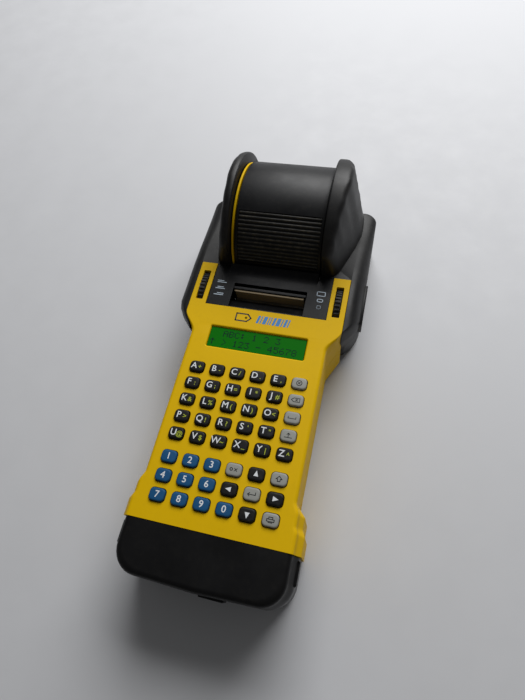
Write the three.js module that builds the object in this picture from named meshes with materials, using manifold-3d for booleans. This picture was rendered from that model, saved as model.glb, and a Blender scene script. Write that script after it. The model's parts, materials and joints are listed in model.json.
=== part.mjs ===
// Hand-held label maker: keypad body, printing head with a drop-in label cartridge, clip-on battery.
// Millimetres, +Z up, +X to the user's right, +Y from the battery towards the printing head.
// It is modelled about the middle of the keypad, with z = 0 on the keypad face, and moved at the
// end so that the origin is under the middle of the object, on the surface that it stands on.
import * as THREE from "three";
import { mergeVertices } from "three/addons/utils/BufferGeometryUtils.js";
import Module from "manifold-3d";

const wasm = await Module();
wasm.setup();

// ---- driving dimensions ------------------------------------------------------------------

const GAP = 0.3; // clearance between two mouldings that meet
const RUN = 0.4; // clearance round a moving button or wheel
const WALL = 2.5; // wall of the case mouldings

// depths below the keypad face
const FOOT_Z = -50; // surface that the object stands on
const FOOT_HEIGHT = 1;
const BASE_Z = FOOT_Z + FOOT_HEIGHT; // underside of the mouldings
const PARTING_Z = -24; // plane where the upper and lower mouldings meet
const FINGER_RELIEF = 4; // how far the underside of the handle is raised for the hand

// handle, as half widths and places along it
const HANDLE_HALF = 43.4;
const GRIP_STEP_HALF = 48.7;
const TAIL_HALF = 50.4;
const FACE_STEP_HALF = 45.6; // the face widens less than the side walls below it
const FACE_TAIL_HALF = 46.8;
const BULGE_TOP_Z = -2.5;
const SEAM_Y = -54; // joint between the handle and the battery pack
const NECK_Y = 61; // end of the straight handle
const FACE_ROUND = 2.5; // rounding of the long edges of the face
const SIDE_ROUND = 4.5; // rounding of the bulges and of the underside

// yellow deck in the head
const DECK_HALF = 50.7;
const DECK_FRONT_Y = 76.5;
const DECK_REAR_Y = 114.8;

// printing head
const HEAD_HALF = 60.5;
const HEAD_FRONT_Y = 63.8;
const HEAD_CORNER_Y = 86;
const HEAD_ROUND = 6;
const SHOULDER_DROP = 13; // fall of the black shoulder from the deck to the side wall
const SHOULDER_TOP_Z = -0.6;

// cartridge and the two round flanges that hold it
const DRUM_RADIUS = 42;
const DRUM_Y = DECK_REAR_Y + 2 * GAP + DRUM_RADIUS;
const DRUM_Z = -6.2;
const HEAD_REAR_Y = DRUM_Y + 23.6;
const SHELL_LEFT = -27.4;
const SHELL_RIGHT = 30;
const SHELL_WALL = 2;
const SIDE_PLATE_RADIUS = DRUM_RADIUS - 0.6;
const SIDE_PLATE_WIDTH = 1.4;
const FLANGE_RADIUS = DRUM_RADIUS + 6;
const FLANGE_FRONT_Y = DECK_REAR_Y + 1.2;
const FLANGE_RIM_X = 38; // where the rim's outer edge starts to be broken
const FLANGE_DRAFT = 0.21; // how much the flange's outer face leans inwards, per millimetre of height
const FLANGE_NECK = 40.4; // plan of the outer face at deck height: where it starts at the front
const FLANGE_BELLY = 50.8; // and its widest, beside the drum's axis
const DRUM_SIDES = 40;
const RIB_COUNT = 12;
const RIB_FROM = 15; // degrees above the front horizontal
const RIB_TO = 60;

// keypad
const COLUMNS = 6;
const LETTER_ROWS = 5;
const NUMBER_ROWS = 3;
const KEY_PITCH_X = 12.7;
const KEY_PITCH_Y = 10.7;
const KEY_TOP_ROW_Y = 37.4;
const BLOCK_SPACE = 3; // extra space between the letter block and the number block
const KEY_WIDTH = 8.4;
const KEY_LENGTH = 7.2;
const KEY_CORNER = 2.1;
const KEY_HEIGHT = 1.8; // above the face
const KEY_TRAVEL = 1;

// display
const LCD_Y = 60.2;
const LCD_WIDTH = 62;
const LCD_LENGTH = 14.4;

// legend panel and label exit
const PANEL_HALF = 39.6;
const PANEL_FRONT_Y = 82.9;
const EXIT_HALF = 24.4;
const EXIT_REAR_Y = 101.5;
const LABEL_WIDTH = 46;

// thumbwheels
const WHEEL_X = 45;
const WHEEL_RADIUS = 15;
const WHEEL_Y = DECK_REAR_Y - WALL - RUN - WHEEL_RADIUS;
const WHEEL_WIDTH = 3.8;
const WHEEL_PROUD = 2.4;
const WHEEL_RIDGES = 20;
const WHEEL_CHORD = Math.sqrt(WHEEL_RADIUS ** 2 - (WHEEL_RADIUS - WHEEL_PROUD - WALL) ** 2);
const WHEEL_SLOT_LENGTH = 2 * (WHEEL_CHORD + RUN);

// printing mechanism
const PLATEN_Y = 102.6;
const PLATEN_Z = -12.2;
const PLATEN_RADIUS = 5.6;
const CHASSIS_HALF = 29.5;
const CHASSIS_SHEET = 1.2;
const GEAR_MODULE = 1;
const PLATEN_TEETH = 16;
const IDLER_TEETH = 12;
const PINION_TEETH = 10;
const GEAR_WIDTH = 4;
const MOTOR_RADIUS = 7;
const MOTOR_LENGTH = 20;

// battery pack
const PACK_END_Y = -83;
const PACK_HALF = 49.3;
const PACK_FACE_HALF = 45.7;
const PACK_CORNER = 14;
const CELL_RADIUS = 7.1;
const CELL_LENGTH = 50;
const CELLS_ACROSS = 4;
const CELL_LAYERS = 2;
const PACK_WALL = 2;
const CELL_TOP_Z = -14.6;

// ---- solids -------------------------------------------------------------------------------

// A closed three.js geometry as a manifold-3d solid.
function solid(geometry) {
  const bare = geometry.index ? geometry.toNonIndexed() : geometry.clone();
  for (const name of Object.keys(bare.attributes)) {
    if (name !== "position") bare.deleteAttribute(name);
  }
  const merged = mergeVertices(bare, 1e-4);
  return new wasm.Manifold(
    new wasm.Mesh({
      numProp: 3,
      vertProperties: merged.attributes.position.array,
      triVerts: new Uint32Array(merged.index.array),
    }),
  );
}

// A manifold-3d solid as a three.js geometry.
function geometryOf(body) {
  const mesh = body.getMesh();
  const geometry = new THREE.BufferGeometry();
  geometry.setAttribute("position", new THREE.BufferAttribute(mesh.vertProperties, 3));
  geometry.setIndex(new THREE.BufferAttribute(mesh.triVerts, 1));
  const flat = geometry.toNonIndexed();
  flat.computeVertexNormals();
  return flat;
}

const join = (...bodies) => bodies.reduce((a, b) => a.add(b));
const cut = (body, ...tools) => tools.reduce((a, b) => a.subtract(b), body);

// A box between two corners.
function block(x0, x1, y0, y1, z0, z1) {
  const geometry = new THREE.BoxGeometry(x1 - x0, y1 - y0, z1 - z0);
  geometry.translate((x0 + x1) / 2, (y0 + y1) / 2, (z0 + z1) / 2);
  return solid(geometry);
}

// A cylinder along X.
function rodX(radius, x0, x1, y, z, sides = 32) {
  const geometry = new THREE.CylinderGeometry(radius, radius, x1 - x0, sides);
  geometry.rotateZ(Math.PI / 2);
  geometry.translate((x0 + x1) / 2, y, z);
  return solid(geometry);
}

// A cylinder along Z.
function rodZ(radius, x, y, z0, z1, sides = 20) {
  const geometry = new THREE.CylinderGeometry(radius, radius, z1 - z0, sides);
  geometry.rotateX(Math.PI / 2);
  geometry.translate(x, y, (z0 + z1) / 2);
  return solid(geometry);
}

// A flat shape in X and Y, raised from z0 to z1. The edge rounding stays inside the shape's size.
function slab(shape, z0, z1, curveSegments = 4) {
  const geometry = new THREE.ExtrudeGeometry(shape, {
    depth: z1 - z0,
    bevelEnabled: false,
    curveSegments,
  });
  geometry.translate(0, 0, z0);
  return solid(geometry);
}

// The same, with its upper and lower edges rounded.
function roundedSlab(shape, z0, z1, round, steps = 3) {
  const geometry = new THREE.ExtrudeGeometry(shape, {
    depth: z1 - z0 - 2 * round,
    bevelEnabled: true,
    bevelSize: round,
    bevelOffset: -round,
    bevelThickness: round,
    bevelSegments: steps,
    curveSegments: 4,
  });
  geometry.translate(0, 0, z0 + round);
  return solid(geometry);
}

// A shape drawn in Y and Z, run along X.
function runX(shape, x0, x1, curveSegments = 4) {
  const geometry = new THREE.ExtrudeGeometry(shape, {
    depth: x1 - x0,
    bevelEnabled: false,
    curveSegments,
  });
  geometry.rotateX(Math.PI / 2);
  geometry.rotateZ(Math.PI / 2);
  geometry.translate(x0, 0, 0);
  return solid(geometry);
}

// A shape drawn in X and Z, run along Y.
function runY(shape, y0, y1) {
  const geometry = new THREE.ExtrudeGeometry(shape, {
    depth: y1 - y0,
    bevelEnabled: false,
  });
  geometry.rotateX(Math.PI / 2);
  geometry.translate(0, y1, 0);
  return solid(geometry);
}

function polygon(points) {
  return new THREE.Shape(points.map(([a, b]) => new THREE.Vector2(a, b)));
}

// A closed outline that is the same on both sides of X = 0, from its right half.
function mirrored(rightHalf) {
  const left = rightHalf
    .filter(([x]) => x > 0)
    .map(([x, y]) => [-x, y])
    .reverse();
  return polygon([...rightHalf, ...left]);
}

function roundedRectangle(width, length, corner, x = 0, y = 0) {
  const w = width / 2;
  const l = length / 2;
  const shape = new THREE.Shape();
  shape.moveTo(x - w + corner, y - l);
  shape.lineTo(x + w - corner, y - l);
  shape.absarc(x + w - corner, y - l + corner, corner, -Math.PI / 2, 0);
  shape.lineTo(x + w, y + l - corner);
  shape.absarc(x + w - corner, y + l - corner, corner, 0, Math.PI / 2);
  shape.lineTo(x - w + corner, y + l);
  shape.absarc(x - w + corner, y + l - corner, corner, Math.PI / 2, Math.PI);
  shape.lineTo(x - w, y - l + corner);
  shape.absarc(x - w + corner, y - l + corner, corner, Math.PI, 1.5 * Math.PI);
  return shape;
}

// A spur gear about the X axis, with a tooth pointing along +Z when turn is 0.
function gear(teeth, x0, x1, y, z, bore, turn) {
  const pitch = (GEAR_MODULE * teeth) / 2;
  const tip = pitch + 0.8 * GEAR_MODULE;
  const root = pitch - 1.15 * GEAR_MODULE;
  const step = (2 * Math.PI) / teeth;
  const halfTip = 0.11 * step;
  const halfRoot = 0.24 * step;
  const points = [];
  for (let i = 0; i < teeth; i++) {
    const middle = i * step + turn;
    const corners = [
      [root, -halfRoot],
      [tip, -halfTip],
      [tip, halfTip],
      [root, halfRoot],
    ];
    for (const [radius, swing] of corners) {
      const angle = middle + swing;
      points.push([y + radius * Math.sin(angle), z + radius * Math.cos(angle)]);
    }
  }
  const wheel = runX(polygon(points.reverse()), x0, x1);
  return bore ? wheel.subtract(rodX(bore, x0 - 1, x1 + 1, y, z, 20)) : wheel;
}

// ---- outlines that several mouldings share -------------------------------------------------

// Plan of the yellow handle and of the deck it widens into. Both ends run on, to be cut later.
function handlePlan(inset, step = GRIP_STEP_HALF, tail = TAIL_HALF) {
  return mirrored([
    [tail - inset, SEAM_Y - 30],
    [tail - inset, -44.5],
    [step - inset, -41],
    [step - inset, -34.5],
    [HANDLE_HALF - inset, -29],
    [HANDLE_HALF - inset, NECK_Y],
    [DECK_HALF - inset, DECK_FRONT_Y],
    [DECK_HALF - inset, DECK_REAR_Y + 30],
  ]);
}

// Plan of the black head, without its drum.
function headPlan(inset, frontY = HEAD_FRONT_Y) {
  const corner = HEAD_ROUND - inset;
  const half = HEAD_HALF - inset;
  const rear = HEAD_REAR_Y - inset;
  const rounded = [];
  for (let i = 0; i <= 4; i++) {
    const angle = (i * Math.PI) / 8;
    rounded.push([
      half - corner + corner * Math.cos(angle),
      rear - corner + corner * Math.sin(angle),
    ]);
  }
  return mirrored([
    [HANDLE_HALF + GAP, frontY],
    [half, HEAD_CORNER_Y + inset / 2],
    ...rounded,
  ]);
}

// Section of the head across X: a flat deck and two shoulders that fall to the side walls.
function shoulderSection(inset, top, bottom) {
  const half = HEAD_HALF - inset;
  const inner = DECK_HALF + GAP;
  const drop = top - SHOULDER_DROP;
  const curve = [];
  for (let i = 0; i <= 4; i++) {
    const angle = (i * Math.PI) / 8;
    curve.push([
      inner + (half - inner) * Math.cos(angle),
      drop + SHOULDER_DROP * Math.sin(angle),
    ]);
  }
  return mirrored([[half, bottom], ...curve]);
}

// One round flange: a thick disc with broken edges, cut off by an outer face that leans inwards.
// side is 1 on the right, -1 on the left.
function flangeBody(side, innerX) {
  const far = FLANGE_BELLY + 20;
  const broken = 1.5;
  const profile = [
    [0, innerX],
    [FLANGE_RADIUS - broken, innerX],
    [FLANGE_RADIUS, innerX + broken],
    [FLANGE_RADIUS, FLANGE_RIM_X],
    [FLANGE_RADIUS - 2.4, FLANGE_RIM_X + 3.6],
    [FLANGE_RADIUS * 0.75, far],
    [0, far],
  ];
  const disc = new THREE.LatheGeometry(
    profile.map(([radius, x]) => new THREE.Vector2(radius, x)),
    DRUM_SIDES,
  );
  disc.rotateZ(-Math.PI / 2);
  disc.rotateX(Math.PI);
  disc.translate(0, DRUM_Y, DRUM_Z);
  const points = [[0, DRUM_Y - FLANGE_RADIUS - 10], [FLANGE_NECK, DRUM_Y - FLANGE_RADIUS - 10]];
  const steps = 7;
  for (let i = 0; i <= steps; i++) {
    const angle = (i / steps) * 0.8 * Math.PI;
    points.push([
      FLANGE_NECK + (FLANGE_BELLY - FLANGE_NECK) * Math.sin(angle),
      DRUM_Y + 6 - (FLANGE_RADIUS - 1) * Math.cos(angle),
    ]);
  }
  points.push([0, DRUM_Y + FLANGE_RADIUS + 10]);
  const wedge = new THREE.ExtrudeGeometry(polygon(points), {
    depth: 2 * FLANGE_RADIUS + 20,
    bevelEnabled: false,
  });
  wedge.translate(0, 0, DRUM_Z - FLANGE_RADIUS - 10);
  wedge.applyMatrix4(new THREE.Matrix4().makeShear(0, 0, 0, 0, -FLANGE_DRAFT, 0));
  const body = solid(disc).intersect(solid(wedge));
  return side > 0 ? body : body.mirror([1, 0, 0]);
}

const bothFlanges = (innerX) => join(flangeBody(1, innerX), flangeBody(-1, innerX));

// The hollow inside both flanges.
function flangeRoom() {
  const rooms = [];
  for (const side of [-1, 1]) {
    for (const [radius, reach] of [
      [FLANGE_RADIUS - WALL, FLANGE_RIM_X - WALL],
      [FLANGE_RADIUS * 0.7, FLANGE_RIM_X + 2],
    ]) {
      const near = side * (POCKET_HALF + WALL);
      const far = side * reach;
      rooms.push(
        rodX(radius, Math.min(near, far), Math.max(near, far), DRUM_Y, DRUM_Z, DRUM_SIDES),
      );
    }
  }
  return join(...rooms);
}

// ---- the assembly ---------------------------------------------------------------------------

const assembly = new THREE.Group();
const finish = {
  yellow: { color: 0xd9a900, roughness: 0.45, metalness: 0 },
  black: { color: 0x1d1e1f, roughness: 0.55, metalness: 0 },
  panelBlack: { color: 0x101214, roughness: 0.35, metalness: 0 },
  rubber: { color: 0x161616, roughness: 0.9, metalness: 0 },
  keyBlack: { color: 0x17181a, roughness: 0.6, metalness: 0 },
  keyBlue: { color: 0x1c5c8c, roughness: 0.6, metalness: 0 },
  keyGrey: { color: 0xa9a699, roughness: 0.6, metalness: 0 },
  glass: { color: 0x2f7d2a, roughness: 0.15, metalness: 0 },
  board: { color: 0x1e5b34, roughness: 0.5, metalness: 0 },
  steel: { color: 0x9a9c9e, roughness: 0.35, metalness: 1 },
  paper: { color: 0xb39b7c, roughness: 0.8, metalness: 0 },
  nylon: { color: 0xe6e2d6, roughness: 0.5, metalness: 0 },
};

function add(name, body, look) {
  const mesh = new THREE.Mesh(geometryOf(body), new THREE.MeshStandardMaterial(finish[look]));
  mesh.name = name;
  assembly.add(mesh);
}

// ---- keypad layout ---------------------------------------------------------------------------

const keyX = (column) => (column - (COLUMNS - 1) / 2) * KEY_PITCH_X;
const keyY = (row) =>
  KEY_TOP_ROW_Y - row * KEY_PITCH_Y - (row >= LETTER_ROWS ? BLOCK_SPACE : 0);

// Keys that are pieces of their own, by row and column. The other places are letter keys.
const OWN_KEYS = {
  key_clear: [0, 5, "keyGrey"],
  key_delete: [1, 5, "keyGrey"],
  key_space: [2, 5, "keyGrey"],
  key_feed: [3, 5, "keyGrey"],
  key_1: [5, 0, "keyBlue"],
  key_2: [5, 1, "keyBlue"],
  key_3: [5, 2, "keyBlue"],
  key_symbol: [5, 3, "keyGrey"],
  key_up: [5, 4, "keyBlack"],
  key_shift: [5, 5, "keyGrey"],
  key_4: [6, 0, "keyBlue"],
  key_5: [6, 1, "keyBlue"],
  key_6: [6, 2, "keyBlue"],
  key_left: [6, 3, "keyBlack"],
  key_enter: [6, 4, "keyGrey"],
  key_right: [6, 5, "keyBlack"],
  key_7: [7, 0, "keyBlue"],
  key_8: [7, 1, "keyBlue"],
  key_9: [7, 2, "keyBlue"],
  key_0: [7, 3, "keyBlue"],
  key_down: [7, 4, "keyBlack"],
  key_print: [7, 5, "keyGrey"],
};

const WEB_TOP_Z = -WALL - 0.5;
const WEB_THICKNESS = 1;
const WEB_Z = WEB_TOP_Z - WEB_THICKNESS;
const BOARD_TOP_Z = -8;
const PILL_HALF = 1.6;
const PILL_Z = BOARD_TOP_Z + KEY_TRAVEL + 0.4;

// One key's cap, from inside its web to its top, with the contact pill under it.
function keyCap(x, y) {
  const cap = roundedRectangle(KEY_WIDTH, KEY_LENGTH, KEY_CORNER, x, y);
  return join(
    slab(cap, WEB_Z, KEY_HEIGHT, 1),
    block(x - PILL_HALF, x + PILL_HALF, y - PILL_HALF, y + PILL_HALF, PILL_Z, WEB_Z + 0.5),
  );
}

function keyHole(x, y) {
  const width = KEY_WIDTH + 2 * RUN;
  const length = KEY_LENGTH + 2 * RUN;
  return slab(roundedRectangle(width, length, KEY_CORNER + RUN, x, y), -WALL - 1, 1, 1);
}

// ---- case mouldings ----------------------------------------------------------------------------

const wheelSlot = (side) =>
  block(
    side * WHEEL_X - WHEEL_WIDTH / 2 - RUN,
    side * WHEEL_X + WHEEL_WIDTH / 2 + RUN,
    WHEEL_Y - WHEEL_SLOT_LENGTH / 2,
    WHEEL_Y + WHEEL_SLOT_LENGTH / 2,
    -WALL - 1,
    1,
  );

const SCREW_TAIL = { x: 42.2, y: -46 };
const SCREW_HEAD = { x: 46, y: 168 };
const SCREW_SHANK = 1.5;
const SCREW_HEAD_RADIUS = 3;
const SCREW_HEAD_HEIGHT = 2;
const SCREW_RECESS = 3; // depth of the counterbore in the underside
const BOSS_RADIUS = 3.9;
const SCREW_TIP_Z = PARTING_Z + 8;

function makeUpperCase() {
  const below = PARTING_Z - 10;
  const face = handlePlan(0, FACE_STEP_HALF, FACE_TAIL_HALF);
  const handle = join(
    roundedSlab(face, below - FACE_ROUND, 0, FACE_ROUND),
    roundedSlab(handlePlan(0), below - SIDE_ROUND, BULGE_TOP_Z, SIDE_ROUND),
  ).subtract(block(-200, 200, DECK_FRONT_Y + 1, 400, -200, 200));
  const deck = slab(
    mirrored([
      [HANDLE_HALF, NECK_Y + 4],
      [DECK_HALF, DECK_FRONT_Y],
      [DECK_HALF, DECK_REAR_Y],
    ]),
    below,
    0,
  );
  const faceRoom = slab(handlePlan(WALL, FACE_STEP_HALF, FACE_TAIL_HALF), below - 1, -WALL);
  const cavity = join(
    faceRoom,
    slab(handlePlan(WALL), below - 1, BULGE_TOP_Z - SIDE_ROUND),
  ).subtract(
    block(-200, 200, DECK_REAR_Y - WALL, 400, -200, 200),
  );
  const bosses = [-1, 1].map((side) =>
    rodZ(BOSS_RADIUS, side * SCREW_TAIL.x, SCREW_TAIL.y, PARTING_Z, -WALL + 0.5, 16),
  );
  const pilots = [-1, 1].map((side) =>
    rodZ(SCREW_SHANK + 0.1, side * SCREW_TAIL.x, SCREW_TAIL.y, PARTING_Z - 1, SCREW_TIP_Z + 1, 12),
  );
  let body = join(cut(join(handle, deck), cavity), ...bosses);
  body = cut(
    body,
    ...pilots,
    block(-200, 200, -200, 200, -200, PARTING_Z),
    block(-200, 200, -200, SEAM_Y, -200, 200),
    block(
      -PANEL_HALF - GAP,
      PANEL_HALF + GAP,
      PANEL_FRONT_Y - GAP,
      DECK_REAR_Y + 5,
      -200,
      200,
    ),
    wheelSlot(1),
    wheelSlot(-1),
    block(
      -LCD_WIDTH / 2,
      LCD_WIDTH / 2,
      LCD_Y - LCD_LENGTH / 2,
      LCD_Y + LCD_LENGTH / 2,
      -WALL - 1,
      1,
    ),
  );
  for (let row = 0; row < LETTER_ROWS + NUMBER_ROWS; row++) {
    for (let column = 0; column < COLUMNS; column++) {
      body = body.subtract(keyHole(keyX(column), keyY(row)));
    }
  }
  return body;
}

function makeLowerCase() {
  const top = PARTING_Z - GAP;
  const outer = roundedSlab(handlePlan(0), BASE_Z, top + 20, SIDE_ROUND);
  const inner = slab(handlePlan(WALL), BASE_Z + WALL, top + 21);
  const relief = block(-100, 100, -6, 50, BASE_Z - 1, BASE_Z + FINGER_RELIEF);
  const reliefFloor = block(
    -HANDLE_HALF,
    HANDLE_HALF,
    -6 - WALL,
    50 + WALL,
    BASE_Z + WALL - 0.5,
    BASE_Z + FINGER_RELIEF + WALL,
  );
  let body = join(cut(outer, inner), reliefFloor.intersect(outer)).subtract(relief);
  for (const side of [-1, 1]) {
    const { x, y } = SCREW_TAIL;
    body = body.add(rodZ(BOSS_RADIUS, side * x, y, BASE_Z + 0.5, top, 16));
    body = cut(
      body,
      rodZ(SCREW_SHANK + 0.1, side * x, y, BASE_Z - 1, top + 1, 12),
      rodZ(SCREW_HEAD_RADIUS + 0.3, side * x, y, BASE_Z - 1, BASE_Z + SCREW_RECESS, 16),
    );
  }
  return cut(
    body,
    block(-200, 200, -200, 200, top, 200),
    block(-200, 200, -200, SEAM_Y, -200, 200),
    block(-200, 200, DECK_FRONT_Y, 400, -200, 200),
    footPocket(FOOT_TAIL_Y),
  );
}

// ---- feet -----------------------------------------------------------------------------------

const FOOT_TAIL_Y = -38;
const FOOT_HEAD_Y = 100;
const FOOT_HALF = 30;
const FOOT_LENGTH = 8;
const FOOT_SUNK = 1;

const footPlan = (y, spare) =>
  roundedRectangle(2 * (FOOT_HALF + spare), FOOT_LENGTH + 2 * spare, 3, 0, y);
const footPocket = (y) => slab(footPlan(y, GAP), BASE_Z - 1, BASE_Z + FOOT_SUNK + GAP);
const makeFoot = (y) => slab(footPlan(y, 0), FOOT_Z, BASE_Z + FOOT_SUNK);

// ---- black head mouldings ----------------------------------------------------------------------

const POCKET_HALF = SHELL_RIGHT + 0.7;
const POCKET_RADIUS = DRUM_RADIUS + 0.6;
const DRUM_FLAT_Z = DRUM_Z - DRUM_RADIUS + 2.8; // flat underside of the cartridge
const REAR_WALL_TOP_Z = 9;

// Room that the cartridge sits in and is lifted out of.
function cartridgeRoom() {
  const round = rodX(POCKET_RADIUS, -POCKET_HALF, POCKET_HALF, DRUM_Y, DRUM_Z, DRUM_SIDES);
  const above = block(
    -POCKET_HALF,
    POCKET_HALF,
    DRUM_Y - POCKET_RADIUS,
    DRUM_Y + POCKET_RADIUS,
    DRUM_Z,
    200,
  );
  return join(round, above).subtract(
    block(-200, 200, -200, 400, -200, DRUM_FLAT_Z - 0.6),
  );
}

const yellowRoom = () =>
  slab(handlePlan(-GAP), -200, 200).subtract(
    block(-200, 200, DECK_REAR_Y + GAP, 400, -201, 201),
  );

const BUTTON_Y = 105;
const BUTTON_LENGTH = 30;
const BUTTON_Z = -17; // middle of the side release, above the parting plane
const BUTTON_HEIGHT = 11;
const BUTTON_PROUD = 1.4;

function makeHeadCover() {
  const deck = slab(headPlan(0), PARTING_Z, 30).intersect(
    runY(shoulderSection(0, SHOULDER_TOP_Z, PARTING_Z - 1), HEAD_FRONT_Y - 5, HEAD_REAR_Y + 5),
  );
  const rear = rodX(FLANGE_RADIUS, -FLANGE_RIM_X, FLANGE_RIM_X, DRUM_Y, DRUM_Z, DRUM_SIDES).subtract(
    block(-200, 200, -200, 400, REAR_WALL_TOP_Z, 200),
  );
  const flanges = bothFlanges(POCKET_HALF - 1).subtract(
    block(-200, 200, -200, FLANGE_FRONT_Y, -200, 200),
  );
  const hollow = join(
    flangeRoom(),
    slab(headPlan(WALL, HEAD_FRONT_Y + 6), PARTING_Z - 30, 30).intersect(
      runY(shoulderSection(WALL, SHOULDER_TOP_Z - WALL, -90), 0, HEAD_REAR_Y + 5),
    ),
  );
  const keepSides = block(
    -POCKET_HALF - WALL,
    POCKET_HALF + WALL,
    DECK_REAR_Y - 1,
    400,
    -200,
    200,
  );
  const frontWall = block(-200, 200, -200, FLANGE_FRONT_Y + WALL, -200, 200).intersect(
    block(-DECK_HALF - 3, DECK_HALF + 3, 0, 300, -200, 200),
  );
  const { x, y } = SCREW_HEAD;
  const outside = join(deck, rear, flanges);
  let body = cut(outside, cut(hollow, keepSides, frontWall));
  for (const side of [-1, 1]) {
    body = body.add(rodZ(BOSS_RADIUS, side * x, y, PARTING_Z, 60, 16).intersect(outside));
    body = body.subtract(
      rodZ(SCREW_SHANK + 0.1, side * x, y, PARTING_Z - 1, SCREW_TIP_Z + 1, 12),
    );
  }
  return cut(
    body,
    cartridgeRoom(),
    yellowRoom(),
    buttonHole(),
    block(-200, 200, -200, 400, -200, PARTING_Z),
  );
}

const buttonHole = () =>
  block(
    HEAD_HALF - WALL - 4,
    HEAD_HALF + 5,
    BUTTON_Y - BUTTON_LENGTH / 2 - RUN,
    BUTTON_Y + BUTTON_LENGTH / 2 + RUN,
    BUTTON_Z - BUTTON_HEIGHT / 2 - RUN,
    BUTTON_Z + BUTTON_HEIGHT / 2 + RUN,
  );

function makeHeadBase() {
  const top = PARTING_Z - GAP;
  const plan = roundedSlab(headPlan(0), BASE_Z, top + 20, 3);
  const drum = rodX(FLANGE_RADIUS, -FLANGE_RIM_X, FLANGE_RIM_X, DRUM_Y, DRUM_Z, DRUM_SIDES);
  const outside = join(plan, drum, bothFlanges(POCKET_HALF - 1)).intersect(
    block(-200, 200, 0, 400, BASE_Z, top),
  );
  const sideRoom = join(
    slab(headPlan(WALL, HEAD_FRONT_Y + 6), BASE_Z + WALL, 60),
    flangeRoom(),
  )
    .subtract(block(-POCKET_HALF - WALL, POCKET_HALF + WALL, 60, 400, -200, 200))
    .intersect(block(-200, 200, 0, 400, BASE_Z + WALL, 60));
  const mechanismRoom = block(
    -POCKET_HALF - WALL - 1,
    POCKET_HALF + WALL + 1,
    DECK_FRONT_Y + 2,
    DRUM_Y - POCKET_RADIUS - WALL,
    BASE_Z + WALL,
    60,
  );
  const { x, y } = SCREW_HEAD;
  let body = cut(outside, sideRoom, mechanismRoom);
  for (const side of [-1, 1]) {
    body = body.add(rodZ(BOSS_RADIUS, side * x, y, BASE_Z + 0.5, top, 16));
    body = cut(
      body,
      rodZ(SCREW_SHANK + 0.1, side * x, y, BASE_Z - 1, top + 1, 12),
      rodZ(SCREW_HEAD_RADIUS + 0.3, side * x, y, BASE_Z - 1, BASE_Z + SCREW_RECESS, 16),
    );
  }
  const labelSlot = block(
    -EXIT_HALF,
    EXIT_HALF,
    DRUM_Y - POCKET_RADIUS - WALL - 5,
    DRUM_Y - POCKET_RADIUS + 14,
    LABEL_Z - 4,
    LABEL_Z + 30,
  );
  return cut(
    body,
    cartridgeRoom(),
    labelSlot,
    slab(handlePlan(-GAP), BASE_Z - 1, 60).subtract(
      block(-200, 200, DECK_FRONT_Y + GAP, 400, -200, 200),
    ),
    footPocket(FOOT_HEAD_Y),
  );
}

const LABEL_Z = -30; // height at which the label leaves the cartridge

function makeScrew(place, side) {
  const x = side * place.x;
  const headZ = BASE_Z + SCREW_RECESS;
  const driver = join(
    block(x - 1.8, x + 1.8, place.y - 0.4, place.y + 0.4, -200, headZ - 1),
    block(x - 0.4, x + 0.4, place.y - 1.8, place.y + 1.8, -200, headZ - 1),
  );
  return cut(
    join(
      rodZ(SCREW_HEAD_RADIUS, x, place.y, headZ - SCREW_HEAD_HEIGHT, headZ - 0.05, 16),
      rodZ(SCREW_SHANK, x, place.y, headZ - 0.5, SCREW_TIP_Z, 12),
    ),
    driver,
  );
}

// ---- face pieces ------------------------------------------------------------------------------

// The legend panel, in one with the sloping tray in front of the label exit.
function makeLegendPanel() {
  const top = -0.5;
  const underside = top - 2;
  const plate = block(-PANEL_HALF, PANEL_HALF, PANEL_FRONT_Y, DECK_REAR_Y, underside, top);
  const window = block(-EXIT_HALF, EXIT_HALF, PANEL_FRONT_Y - 5, EXIT_REAR_Y, -10, 5);
  const tray = polygon([
    [PANEL_FRONT_Y, underside + 0.5],
    [PANEL_FRONT_Y, underside - 1.5],
    [PANEL_FRONT_Y + 10, -9],
    [PANEL_FRONT_Y + 10, -7.5],
    [PANEL_FRONT_Y + 1.5, underside + 0.5],
  ]);
  const ramp = polygon([
    [DECK_REAR_Y - 8, top - 1],
    [DECK_REAR_Y, top - 1],
    [DECK_REAR_Y, top + 3.2],
    [DECK_REAR_Y - 2, top + 1.4],
    [DECK_REAR_Y - 4.5, top + 0.4],
    [DECK_REAR_Y - 8, top],
  ]);
  return join(
    plate.subtract(window),
    runX(tray, -EXIT_HALF - 1.5, EXIT_HALF + 1.5),
    runX(ramp, -POCKET_HALF + 1, POCKET_HALF - 1),
  );
}

function makeLcdLens() {
  const w = LCD_WIDTH / 2 + 2;
  const l = LCD_LENGTH / 2 + 2;
  return join(
    block(
      -LCD_WIDTH / 2 + GAP,
      LCD_WIDTH / 2 - GAP,
      LCD_Y - LCD_LENGTH / 2 + GAP,
      LCD_Y + LCD_LENGTH / 2 - GAP,
      -WALL - 1,
      -1.2,
    ),
    block(-w, w, LCD_Y - l, LCD_Y + l, -WALL - 1.2, -WALL - GAP),
  );
}

function makeLcdModule() {
  const top = -WALL - 1.2 - GAP;
  const glass = block(-33, 33, LCD_Y - 9.5, LCD_Y + 9.5, top - 2.2, top);
  const carrier = block(-38, 38, LCD_Y - 12, LCD_Y + 12, BOARD_TOP_Z + 0.3, top - 2);
  return join(glass, carrier);
}

function makeBoard() {
  const half = 36;
  const board = block(-half, half, SEAM_Y + 6, LCD_Y + 19, BOARD_TOP_Z - 1.6, BOARD_TOP_Z);
  const chips = [
    [-14, 40, 22, 22],
    [16, 44, 16, 10],
    [14, 18, 12, 24],
    [-18, 4, 10, 26],
    [8, -8, 30, 8],
  ].map(([x, y, width, length]) =>
    block(x - width / 2, x + width / 2, y - length / 2, y + length / 2, -12.4, -9),
  );
  return join(board, ...chips);
}

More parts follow.
